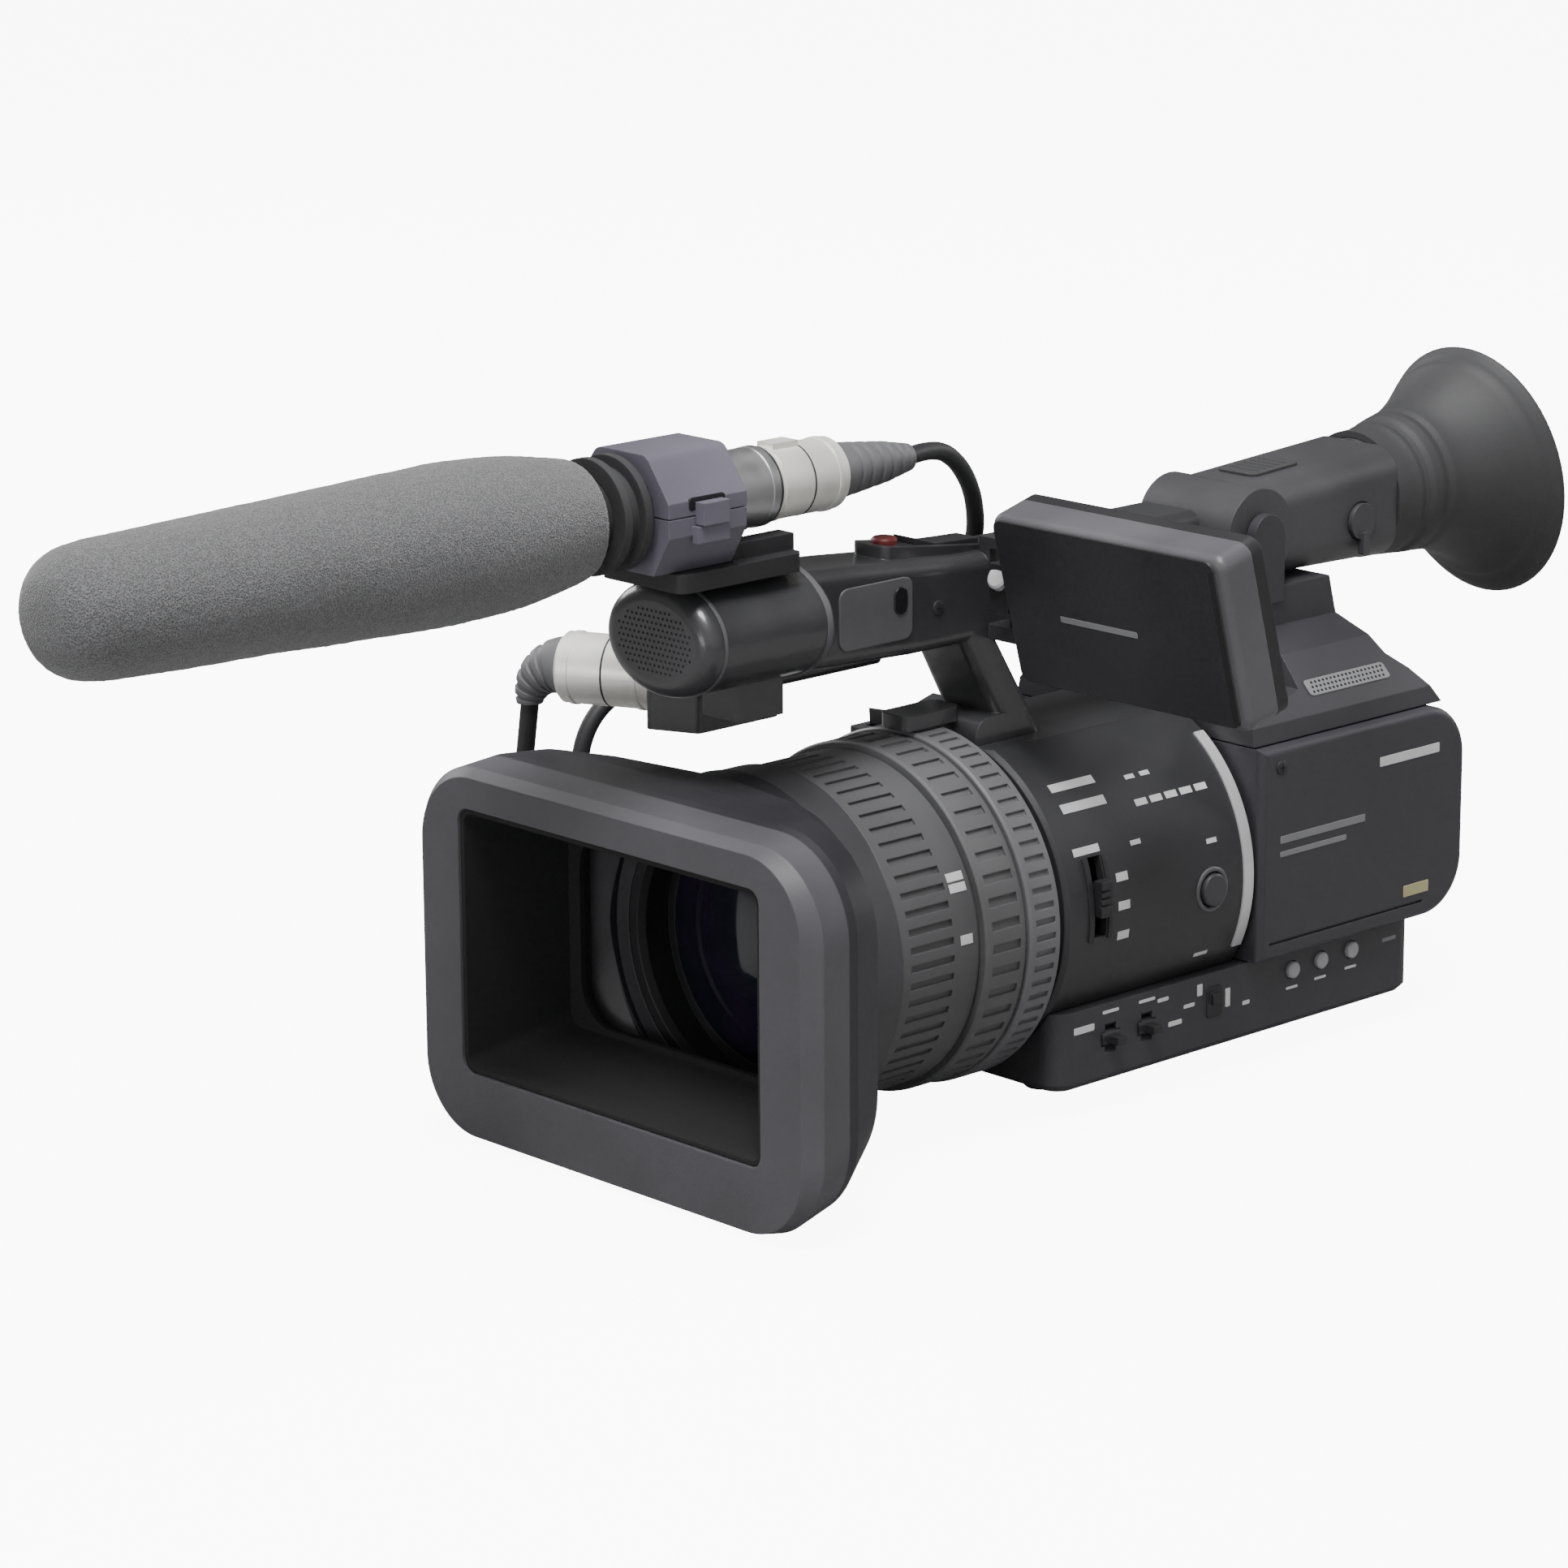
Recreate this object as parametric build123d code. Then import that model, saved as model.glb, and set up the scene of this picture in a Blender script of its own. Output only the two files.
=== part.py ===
from build123d import *
import math
import os

# A hand-held camcorder with a shotgun microphone on its handle.
# +X is the operator's left (the monitor side), -Y is the way the lens looks, +Z is up.
# The origin is the mouth of the tripod thread, on the underside of the tripod plate.

# ---------------------------------------------------------------- driving dimensions, mm
axis_z = 56.0            # lens axis over the tripod plate's underside
hood_front = -200.0      # front face of the lens hood
hood_back = -158.0       # where the hood meets the barrel
hood_neck = 48.0         # radius there
# The hood's outline, front to back: y, half width, lowest z, highest z, corner radius.
hood_outline = [
    (hood_front, 74.0, 1.5, 101.5, 20.0),
    (-196.0, 78.4, 1.2, 103.5, 23.0),
    (-184.0, 78.2, 3.0, 105.5, 26.0),
    (-174.0, 75.0, 8.5, 106.0, 29.0),
    (-165.0, 64.0, 12.0, 105.0, 32.0),
    (hood_back, hood_neck, axis_z - hood_neck, axis_z + hood_neck, 44.0),
]
hood_opening = (118.0, 74.0)
hood_throat = (107.0, 62.0)
liner_back = -165.0
liner_wall = 1.3

mount_ring_r = 47.5      # fixed ring behind the hood
barrel_r = 43.0          # the fixed tube that the three rings turn on
barrel_bore = 40.5
flange_r = 41.4          # the tube where it enters the middle housing
running_gap = 0.1
ring_spans = {"focus": (-137.6, -108.4), "zoom": (-108.0, -92.6), "iris": (-92.2, -80.4)}
ring_radii = {"focus": 46.6, "zoom": 48.6, "iris": 49.6}
body_front = -76.0       # front of the middle housing
housing_r = 47.5
housing_wall = 2.7
housing_back = -1.6
deck_z = 100.0           # flat on top of the housing, under the handle

base_x = 44.0            # half width of the base
base_z = (7.5, 30.0)
base_back = 73.0
side_x = 49.0            # outer face of the left side cover
case_back = 88.0
case_z = (30.4, 92.0)
wall = 2.5
foot_height = 7.4

handle_x = 12.0          # half width of the handle
pod_half = (21.0, 15.5)  # half width and half height of the pod at the handle's front
pod_z = 144.6
pod_y = (-181.5, -137.0)
mic_z = 180.5            # axis of the shotgun microphone
mic_r = 10.5
plug_r = 9.75
cable_d = 5.0
input_mouth = (-34.0, -148.0, 124.5)   # centre of audio socket 1's mouth
input_turn = 65.0        # degrees that socket 1 faces outward from straight ahead
second_mouth = (-40.0, -107.0, 133.5)

lcd_size = (83.4, 50.0, 15.0)
lcd_lean = 15.0          # degrees that the open monitor leans at rest
lcd_axis = (-74.3, 146.6)   # y and z of the tilt shaft
lcd_inner_x = 28.6
lcd_post = (22.0, -65.0)    # x and y of the swing post

evf_pivot = (33.0, 143.5)   # y and z of the tilt axis
evf_half_x = 17.5
evf_axis_z = 144.6          # height of the eyepiece
# The viewfinder tube, front to back: y, lowest z, highest z.
evf_outline = [(33.0, 130.0, 157.1), (62.0, 129.2, 158.8), (92.0, 128.4, 160.6)]
evf_back = 100.0
# The eyecup's sections: y, centre z, radius, forward lean in degrees.
eyecup_sections = [(99.6, 144.6, 19.0, 0), (108.0, 145.5, 20.5, 0), (120.0, 146.3, 22.5, 6),
                   (132.0, 146.6, 28.5, 9), (142.6, 145.5, 38.2, 10)]

button_gap = 0.25        # clearance round a button in its hole


# ---------------------------------------------------------------- helpers
def box(x, y, z):
    """A box from three (low, high) pairs."""
    size = [b - a for a, b in (x, y, z)]
    middle = [(a + b) / 2 for a, b in (x, y, z)]
    return Pos(*middle) * Box(*size)


def across(y, x=0.0, z=0.0):
    """A plane square to the lens axis at y: its own axes are X and Z, and its normal points forward."""
    return Plane(origin=(x, y, z), x_dir=(1, 0, 0), z_dir=(0, -1, 0))


def rod(r, y, z=axis_z, x=0.0):
    """A cylinder along Y between the two values of y."""
    return extrude(across(y[1], x, z) * Circle(r), y[1] - y[0])


def ring(outer, inner, y, z=axis_z, x=0.0):
    return extrude(across(y[1], x, z) * (Circle(outer) - Circle(inner)), y[1] - y[0])


def pin(r, axis_point, direction, length):
    """A cylinder that starts at a point and runs along a direction."""
    return extrude(Plane(origin=axis_point, z_dir=direction) * Circle(r), length)


def side_profile(points, x):
    """A prism from points in (y, z), between two values of x."""
    face = make_face(Polyline(*points, close=True))
    plane = Plane(origin=(x[0], 0, 0), x_dir=(0, 1, 0), z_dir=(1, 0, 0))
    return extrude(plane * face, x[1] - x[0])


def front_profile(points, y):
    """A prism from points in (x, z), between two values of y."""
    face = make_face(Polyline(*points, close=True))
    return extrude(across(y[1]) * face, y[1] - y[0])


def plan_profile(points, z):
    """A prism from points in (x, y), between two values of z."""
    return extrude(Plane.XY.offset(z[0]) * make_face(Polyline(*points, close=True)), z[1] - z[0])


def funnel(size_a, corner_a, y_a, size_b, corner_b, y_b, z=axis_z):
    """A solid between two rounded rectangles on the lens axis."""
    first = across(y_a, 0, z) * RectangleRounded(*size_a, corner_a)
    second = across(y_b, 0, z) * RectangleRounded(*size_b, corner_b)
    return loft([first, second], ruled=True)


def grow(size, by):
    return (size[0] + 2 * by, size[1] + 2 * by)


def rounded_section(y, half_width, low, high, corner):
    return across(y, 0, (low + high) / 2) * RectangleRounded(2 * half_width, high - low, corner)


def softened(shape, edges, radius):
    """Fillets the edges, with a smaller radius where the full one doesn't fit."""
    for r in (radius, radius * 0.6, radius * 0.3):
        try:
            return fillet(edges, r)
        except Exception:
            continue
    return shape


def revolved(points, z=axis_z):
    """A solid of revolution round the Y axis at height z, from (radius, y) points."""
    face = make_face(Polyline(*points, close=True))
    turned = revolve(face, Axis.Y, 360)
    return Pos(0, 0, z) * turned


parts = {}


# ---------------------------------------------------------------- lens hood
def hood_shell():
    """A bevelled frame that narrows to the barrel, with the light path through it."""
    body = loft([rounded_section(*row) for row in hood_outline], ruled=True)
    collar = rod(hood_neck, (hood_back, hood_back + 8))
    cavity = funnel(grow(hood_opening, 0.1), 4, hood_front - 1, hood_throat, 6, liner_back)
    frame = extrude(across(liner_back + 2.5, 0, axis_z) * RectangleRounded(97, 57, 12), 5)
    waist = funnel((104, 80), 24, liner_back + 2.0, (89, 89), 40, hood_back + 0.5)
    bore = rod(45.5, (hood_back - 1.0, hood_back + 9))
    return body + collar - cavity - frame - waist - bore


def hood_liner():
    """The flocked inner walls of the hood, with a rounded frame at the back."""
    gap = 0.3
    front, back = hood_front + 0.8, liner_back - 0.2
    outer = funnel(grow(hood_opening, -gap), 4, front, grow(hood_throat, -gap), 6, back)
    inner = funnel(grow(hood_opening, -gap - liner_wall), 3, front - 0.1,
                   grow(hood_throat, -gap - liner_wall), 5, back - 2)
    aperture = extrude(across(liner_back + 1, 0, axis_z) * RectangleRounded(95, 55, 12), 8)
    return outer - inner - aperture


parts["hood_shell"] = hood_shell()
parts["hood_liner"] = hood_liner()


# ---------------------------------------------------------------- lens
def lens_barrel():
    """The fixed tube: hood spigot, mount ring, running surface and back flange."""
    inner = barrel_bore
    profile = [(inner, -156.0), (45.3, -156.0), (45.3, -149.8), (mount_ring_r, -149.8),
               (mount_ring_r, -138.0), (barrel_r, -138.0), (barrel_r, -80.3), (flange_r, -80.3),
               (flange_r, -70.0), (18.0, -70.0), (18.0, -72.5), (inner - 1.5, -72.5),
               (inner - 1.5, -82.0), (inner, -82.0)]
    return revolved(profile)


def turning_ring(name, grooves, groove_y):
    """A ring on the barrel, with shallow grooves for the fingers."""
    outer = ring_radii[name]
    body = ring(outer, barrel_r + running_gap, ring_spans[name])
    edges = body.edges().filter_by(GeomType.CIRCLE).filter_by(lambda e: e.radius > outer - 0.1)
    body = chamfer(edges, 0.6)
    if not grooves:
        return body
    width = 2 * math.pi * outer / grooves * 0.4
    depth = 0.8
    cutter = box((-width / 2, width / 2), groove_y, (outer - depth, outer + 2))
    cuts = [Pos(0, 0, axis_z) * Rot(0, 360 * k / grooves, 0) * cutter for k in range(grooves)]
    return body - cuts


def front_lens():
    glass = rod(37.4, (-153.0, -145.0))
    return glass & (Pos(0, -151.6 + 90, axis_z) * Sphere(90))


def lens_bezel():
    """The stepped black sleeve that holds the front and inner lenses."""
    outer = 40.3
    profile = [(outer, -155.8), (37.2, -155.8), (36.0, -153.4), (37.6, -153.2), (37.6, -144.0),
               (35.0, -144.0), (31.0, -131.0), (29.9, -131.0), (29.9, -119.0), (outer, -119.0)]
    return revolved(profile)


def inner_lens():
    glass = rod(29.6, (-131.0, -121.0))
    return glass & (Pos(0, -130.0 + 60, axis_z) * Sphere(60))


def sensor_block():
    prism = box((-17, 17), (-66, -36), (39, 73))
    board = box((-24, 24), (-35.6, -33.6), (30, 82))
    nose = rod(12, (-72, -66))
    return prism + board + nose + box((-8, 8), (-36.2, -35.4), (50, 62))


parts["lens_barrel"] = lens_barrel()
parts["focus_ring"] = turning_ring("focus", 60, (-134.0, -118.0))
parts["zoom_ring"] = turning_ring("zoom", 48, (-105.5, -95.0))
parts["iris_ring"] = turning_ring("iris", 72, (-90.0, -82.6))
parts["front_lens"] = front_lens()
parts["lens_bezel"] = lens_bezel()
parts["inner_lens"] = inner_lens()
parts["sensor_block"] = sensor_block()


# ---------------------------------------------------------------- left-hand controls
# Each button sits in a round hole: name, face x, y, z, radius, how far it stands out, its stem's length.
press_buttons = {
    "push_auto_button": (housing_r, -18.4, 55.7, 4.6, 1.6, 5.0),
    "user_button_1": (base_x, 19.6, 24.0, 2.4, 1.3, 4.5),
    "user_button_2": (base_x, 31.7, 24.4, 2.4, 1.3, 4.5),
    "user_button_3": (base_x, 44.8, 24.8, 2.4, 1.3, 4.5),
}
nd_slot = {"y": (-65.4, -60.6), "z": (51.0, 73.0)}
toggle_ys = {"gain_switch": -55.0, "white_balance_switch": -40.5}
toggle_z = 20.0
toggle_x = base_x - 2.0


def press_button(name):
    x, y, z, r, proud, stem = press_buttons[name]
    shaft = pin(r, (x - stem, y, z), (1, 0, 0), stem + proud)
    return chamfer(shaft.faces().sort_by(Axis.X)[-1].edges(), 0.4)


def button_holes(names):
    return [pin(r + button_gap, (x - 8, y, z), (1, 0, 0), 12)
            for x, y, z, r, proud, stem in (press_buttons[n] for n in names)]


def nd_switch():
    """A slider in an upright slot, with a ribbed thumb piece."""
    y = (nd_slot["y"][0] + 0.3, nd_slot["y"][1] - 0.3)
    stem = box((housing_r - 5, housing_r), y, (59.0, 65.0))
    thumb = box((housing_r - 0.8, housing_r + 2.4), y, (57.0, 67.0))
    across_ribs = (housing_r + 1.6, housing_r + 3)
    ribs = [box(across_ribs, nd_slot["y"], (60.0 + 2 * k, 60.7 + 2 * k)) for k in range(3)]
    return stem + thumb - ribs


def toggle(name):
    """A lever on a small round hub, in a pocket of the base."""
    y = toggle_ys[name]
    hub = pin(2.6, (toggle_x, y - 3.4, toggle_z), (0, 1, 0), 6.8)
    lever = box((toggle_x, base_x + 4.5), (y - 1.7, y + 1.7), (toggle_z - 1.1, toggle_z + 1.1))
    return hub + lever


def toggle_pockets():
    """The pockets flare outward so that the levers have room to tip."""
    cuts = []
    for y in toggle_ys.values():
        cuts.append(pin(2.8, (toggle_x, y - 3.7, toggle_z), (0, 1, 0), 7.4))
        cuts.append(side_slot(y))
    return cuts


def side_slot(y):
    half = 5.0
    shape = [(toggle_x, toggle_z - 2.6), (base_x + 1, toggle_z - half), (base_x + 1, toggle_z + half),
             (toggle_x, toggle_z + 2.6)]
    return front_profile(shape, (y - 2.2, y + 2.2))


for button in press_buttons:
    parts[button] = press_button(button)
parts["nd_switch"] = nd_switch()
for switch in toggle_ys:
    parts[switch] = toggle(switch)


# ---------------------------------------------------------------- casings
def control_housing():
    """The round middle housing with the flat deck on top and the front lip behind the rings."""
    top_cut = box((-60, 60), (-90, 10), (deck_z, 140))
    low_cut = box((-60, 60), (-90, 10), (-10, 12.5))
    outer = rod(housing_r, (body_front, housing_back))
    outer = chamfer(outer.faces().sort_by(Axis.Y)[0].edges(), 1.2)
    under_deck = box((-60, 60), (-90, 10), (-10, deck_z - housing_wall))
    hollow = rod(housing_r - housing_wall, (body_front + 2.7, 5)) & under_deck
    lip = rod(44.2, (-79.8, body_front + 1))
    bore = rod(flange_r + 0.2, (-81, body_front + 4))
    slot = box((housing_r - 8, housing_r + 3), nd_slot["y"], nd_slot["z"])
    holes = button_holes(["push_auto_button"])
    return (outer - top_cut - hollow + lip - bore) - low_cut - slot - holes


def side_cover():
    """The left rear casing, rounded at its back corners and open towards the middle."""
    x = (1.0, side_x)
    outer = box(x, (0.0, case_back), case_z)
    back_edges = outer.edges().filter_by(Axis.X).sort_by(Axis.Y)[-2:]
    outer = fillet(back_edges, 16)
    rim = outer.faces().sort_by(Axis.X)[-1].outer_wire().edges()
    outer = softened(outer, rim, 2.4)
    inner = box((0.0, side_x - wall), (wall, case_back - 30), (case_z[0] + wall, case_z[1] - wall))
    groove = box((side_x - 0.8, side_x + 1), (4.0, 70.0), (35.0, 35.8))
    release_pocket = box((19.7, 28.3), (case_back - 7, case_back + 5), (65.7, 72.3))
    return outer - inner - groove - battery_bay() - release_pocket


def battery_bay():
    return box((-24.6, 16.6), (54.2, 120), (33.4, 84.6))


def right_cover():
    outer = box((-45.0, 0.6), (0.0, case_back), case_z)
    outer = fillet(outer.edges().filter_by(Axis.X).sort_by(Axis.Y)[-2:], 14)
    inner = box((-45.0 + wall, 2.0), (wall, case_back - 34), (case_z[0] + wall, case_z[1] - wall))
    return outer - inner - battery_bay() - card_slot()


def card_slot():
    return box((-42.0, -27.0), (case_back - 22, case_back + 5), (40.0, 80.0))


def top_cover():
    """The sloped top with the tower that carries the viewfinder between two ears."""
    side = [(0, 92.4), (0, 99.0), (26, 103.5), (30, 128.4), (60, 128.4), (62.5, 119.0),
            (66.7, 107.0), (72.0, 102.6), (80.0, 92.4)]
    front = [(-46, 92.4), (-45, 97.5), (-31, 112), (-20, 117), (-20, 128.4),
             (20, 128.4), (20, 117), (31, 112), (45, 97.5), (46, 92.4)]
    body = side_profile(side, (-60, 60)) & front_profile(front, (-5, 95))
    side_in = [(2.5, 92.0), (2.5, 96.5), (28, 101.0), (32.6, 125.8), (58, 125.8), (60, 118.5),
               (64.4, 105.8), (70.5, 100.4), (77.0, 92.0)]
    front_in = [(-43, 92.0), (-42, 97), (-29, 109.5), (-17.5, 115), (-17.5, 125.8),
                (17.5, 125.8), (17.5, 115), (29, 109.5), (42, 97), (43, 92.0)]
    body = body - (side_profile(side_in, (-60, 60)) & front_profile(front_in, (-5, 95)))
    y, z = evf_pivot
    for side_of in (-1, 1):
        low, high = sorted((side_of * 17.9, side_of * 21.0))
        ear = pin(6.5, (low, y, z), (1, 0, 0), high - low)
        ear = ear + box((low, high), (y - 6.5, y + 6.5), (124, z))
        stub = pin(4.0, (min(side_of * 12.5, side_of * 19.0), y, z), (1, 0, 0), 6.5)
        body = body + ear + stub
    return body


def base_tray():
    outer = box((-base_x, base_x), (body_front, base_back), base_z)
    outer = softened(outer, outer.edges().filter_by(Axis.Z), 7)
    outer = chamfer(outer.faces().sort_by(Axis.Z)[0].edges(), 2.0)
    inner = box((-base_x + 5, base_x - 5), (body_front + wall, base_back - wall), (base_z[0] + 3, 60))
    cradle = rod(housing_r + 0.2, (body_front - 1, housing_back + 0.3))
    ends = [pin(1.6, (x, y, 0), (0, 0, 1), 9) for x, y in plate_screw_points]
    holes = button_holes(["user_button_1", "user_button_2", "user_button_3"])
    return outer - inner - cradle - toggle_pockets() - holes - ends


plate_screw_points = [(-14, -22), (14, -22), (-14, 22), (14, 22)]


def tripod_plate():
    """A steel plate with the quarter-inch thread and the hole for an anti-turn pin."""
    plate = box((-20, 20), (-30, 30), (0, base_z[0]))
    plate = fillet(plate.edges().filter_by(Axis.Z), 5)
    thread = pin(3.175, (0, 0, -1), (0, 0, 1), 7.0)
    video_pin = pin(2.6, (0, 15.0, -1), (0, 0, 1), 6.5)
    screws = [pin(1.6, (x, y, 0), (0, 0, 1), 9) for x, y in plate_screw_points]
    heads = [pin(3.0, (x, y, -0.1), (0, 0, 1), 2.6) for x, y in plate_screw_points]
    return plate - thread - video_pin - screws - heads


foot_points = [(-17, -54), (17, -54), (-17, 50), (17, 50)]


def feet():
    pads = []
    for x, y in foot_points:
        pad = pin(5.5, (x, y, 0), (0, 0, 1), foot_height)
        pads.append(chamfer(pad.faces().sort_by(Axis.Z)[0].edges(), 0.8))
    return Compound(pads)


def main_board():
    board = box((-38, 38), (4, 52), (36, 37.6))
    corners = [(-30, 10), (-8, 14), (16, 8), (-20, 34), (12, 32)]
    chips = [box((x, x + 12), (y, y + 12), (37.6, 39.4)) for x, y in corners]
    return board + chips


def rear_panel():
    """The contact plate at the bottom of the battery bay."""
    plate = box((-24.0, 16.0), (54.4, 57.2), (33.8, 84.2))
    contacts = [box((-8 + 6 * k, -6 + 6 * k), (57.2, 57.6), (50, 66)) for k in range(3)]
    return plate + contacts


def case_screws():
    """The four cross-head screws of the tripod plate."""
    screws = []
    for x, y in plate_screw_points:
        screw = pin(2.8, (x, y, 0.3), (0, 0, 1), 2.1) + pin(1.5, (x, y, 2.3), (0, 0, 1), 5.0)
        cross = box((x - 1.6, x + 1.6), (y - 0.3, y + 0.3), (-1, 1.3))
        cross = cross + box((x - 0.3, x + 0.3), (y - 1.6, y + 1.6), (-1, 1.3))
        screws.append(screw - cross)
    return Compound(screws)


parts["control_housing"] = control_housing()
parts["side_cover"] = side_cover()
parts["right_cover"] = right_cover()
parts["top_cover"] = top_cover()
parts["base_tray"] = base_tray()
parts["tripod_plate"] = tripod_plate()
parts["feet"] = feet()
parts["main_board"] = main_board()
parts["rear_panel"] = rear_panel()
parts["case_screws"] = case_screws()


# ---------------------------------------------------------------- battery and card door
def battery():
    pack = box((-24.0, 16.0), (58.0, 95.0), (34.0, 84.0))
    pack = fillet(pack.edges().filter_by(Axis.Y), 3)
    return chamfer(pack.faces().sort_by(Axis.Y)[-1].edges(), 1.2)


def battery_release():
    button = box((20.0, 28.0), (case_back - 4, case_back + 1.6), (66.0, 72.0))
    return chamfer(button.faces().sort_by(Axis.Y)[-1].edges(), 0.5)


def card_door():
    """A lid on the back of the right cover, hinged along its rounded outer edge."""
    hinge_x = -40.1
    lid = box((hinge_x, -27.3), (case_back - 2.4, case_back), (40.3, 79.7))
    knuckle = pin(1.6, (hinge_x, case_back - 1.6, 40.3), (0, 0, 1), 39.4)
    return lid + knuckle


parts["battery"] = battery()
parts["battery_release"] = battery_release()
parts["card_door"] = card_door()


# ---------------------------------------------------------------- hand grip
grip_y = (-44.0, 84.0)
grip_zoom = {"x": (-68.0, -54.0), "y": (-40.0, -12.0), "z": 86.5}
rec_centre = (-58.0, grip_y[1], 62.0)


def grip_block(gap=0.0):
    """The grip's outline seen from above, as a prism; gap makes it larger on the knuckle side."""
    front, back = grip_y
    plan = [(-45.4, -40.0), (-52.0, front), (-70.0 - gap, front), (-79.0 - gap, -30.0),
            (-82.0 - gap, 0.0), (-80.0 - gap, 50.0), (-74.0 - gap, 78.0), (-68.0 - gap, back),
            (-45.4, back)]
    return plan_profile(plan, (34.0, 86.0))


def grip_housing():
    """The hand grip on the right, bulging outward, with a flat for the zoom rocker."""
    body = grip_block()
    front_cut = [(-90, 30), (-90, 58), (-82.0, 44), (-70, 33.8), (-45, 33.8), (-45, 30)]
    top_cut = [(-90, 62), (-81.5, 72), (-70.5, 86.1), (-45, 86.1), (-45, 95), (-90, 95)]
    body = body - front_profile(front_cut, (-60, 100)) - front_profile(top_cut, (-60, 100))
    notch = rod(housing_r + 0.3, (body_front, housing_back + 0.2))
    inner = box((-74, -48.5), (-34, 70), (40, 78))
    body = body - notch - inner
    x, y, z = rec_centre
    body = body - pin(9.3, (x, y - 9, z), (0, 1, 0), 12)
    return body - box(grip_zoom["x"], grip_zoom["y"], (80.0, 90.0))


def grip_zoom_rocker():
    """The rocker see-saws on a shaft along X."""
    x0, x1 = grip_zoom["x"]
    y0, y1 = grip_zoom["y"]
    middle = (y0 + y1) / 2
    profile = [(y0 + 1.5, 86.2), (middle - 5, 85.0), (middle - 2, 83.4), (middle + 2, 83.4),
               (middle + 5, 85.0), (y1 - 1.5, 86.2), (y1 - 1.0, 91.0), (middle + 4, 88.6),
               (middle - 4, 88.6), (y0 + 1.0, 91.0)]
    shaft = pin(2.6, (x0 + 0.4, middle, 84.0), (1, 0, 0), x1 - x0 - 0.8)
    return side_profile(profile, (x0 + 0.4, x1 - 0.4)) + shaft


def grip_rec_button():
    x, y, z = rec_centre
    button = pin(5.0, (x, y - 6, z), (0, 1, 0), 8.6)
    return chamfer(button.faces().sort_by(Axis.Y)[-1].edges(), 0.6)


def power_lever():
    """A ring round the record button with a thumb tab."""
    x, y, z = rec_centre
    outer = pin(9.0, (x, y - 4, z), (0, 1, 0), 6.0) - pin(5.3, (x, y - 5, z), (0, 1, 0), 12)
    tab = box((x - 1.8, x + 1.8), (y + 0.4, y + 3.2), (z + 7.6, z + 12.5))
    return outer + tab


def hand_strap():
    """A padded strap in an arc over the knuckles, fixed at the front and the back of the grip."""
    outer = [(-72.0, -37.0), (-87.0, -22.0), (-94.5, 8.0), (-94.0, 42.0), (-85.5, 69.0), (-71.0, 80.0)]
    inner = [(-71.0, 75.0), (-81.8, 66.0), (-90.0, 41.0), (-90.5, 9.0), (-84.0, -18.0), (-72.0, -31.0)]
    edge = Spline(*outer) + Line(outer[-1], inner[0]) + Spline(*inner) + Line(inner[-1], outer[0])
    band = extrude(Plane.XY.offset(44.0) * make_face(edge), 30.0) - grip_block(0.05)
    return band.solids().sort_by(SortBy.VOLUME)[-1]


parts["grip_housing"] = grip_housing()
parts["grip_zoom_rocker"] = grip_zoom_rocker()
parts["grip_rec_button"] = grip_rec_button()
parts["power_lever"] = power_lever()
parts["hand_strap"] = hand_strap()


# ---------------------------------------------------------------- handle
rec_handle = {"y": -98.6, "r": 3.6}
zoom_handle = {"x": (-4.2, 4.2), "y": (-91.0, -67.0), "z": 152.6}
swell_y = (-105.0, -60.0)     # the raised console on the handle


def swell_top(y):
    """Height of the console's sloping top."""
    return 159.0 - (y - swell_y[0]) * 0.125


def handle():
    """Pod, bar, console, slanted front leg on its foot, rear leg, and the monitor's lugs."""
    profile = [(-150, 158.5), (-118, 156.5), (-80, 153.2), (-50, 152.6), (13.5, 152.4), (13.5, 131),
               (25.4, 103.44), (12.0, 101.12), (-0.5, 129.3), (-66, 128.9), (-48.2, deck_z),
               (-62.6, deck_z), (-78.5, 128.8), (-98, 128.9), (-137, 130.6), (-150, 130.6)]
    bar = side_profile(profile, (-handle_x, handle_x))
    sides = bar.edges().filter_by(lambda e: abs(abs(e.center().X) - handle_x) < 0.1)
    bar = softened(bar, sides.filter_by(lambda e: e.length > 25), 4.0)
    foot = box((-handle_x, handle_x), (body_front + 0.3, -56), (deck_z, 107.5))
    foot = softened(foot, foot.faces().sort_by(Axis.Y)[0].edges().filter_by(Axis.X)[-1:], 6.0)
    pod = extrude(across(pod_y[1], 0, pod_z) * Ellipse(*pod_half), pod_y[1] - pod_y[0])
    pod = softened(pod, pod.faces().sort_by(Axis.Y)[0].edges(), 5.0)
    pod = pod - box((-30, 30), (-190, -130), (159.8, 165))
    clip = box((-7.0, 7.0), (-158.5, -142.5), (119.9, 133.0))
    clip = clip - box((-8.0, 4.0), (-154.0, -147.0), (118.0, 126.0))
    front, back = swell_y
    swell = side_profile([(front, 153), (front, swell_top(front)), (back, swell_top(back)), (back, 150)],
                         (-6.6, 6.6))
    swell = softened(swell, swell.edges().filter_by(Axis.Z), 3)
    body = bar + foot + pod + clip + swell + monitor_lugs()
    body = body - pin(rec_handle["r"] + button_gap, (0, rec_handle["y"], 150), (0, 0, 1), 12)
    zx, zy = zoom_handle["x"], zoom_handle["y"]
    return body - box((zx[0] - 0.4, zx[1] + 0.4), (zy[0] - 0.4, zy[1] + 0.4), (149.4, 165))


def monitor_lugs():
    x, y = lcd_post
    lugs = []
    for z in ((129.4, 133.6), (154.4, 157.4)):
        lug = box((8.0, x), (y - 5.5, y + 5.5), z) + pin(5.5, (x, y, z[0]), (0, 0, 1), z[1] - z[0])
        lugs.append(lug)
    bridge = box((8.0, 11.9), (y - 5.5, y + 5.5), (150.0, 157.4))
    post = pin(2.4, (x, y, 130), (0, 0, 1), 26)
    return lugs[0] + lugs[1] + bridge + post


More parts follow.
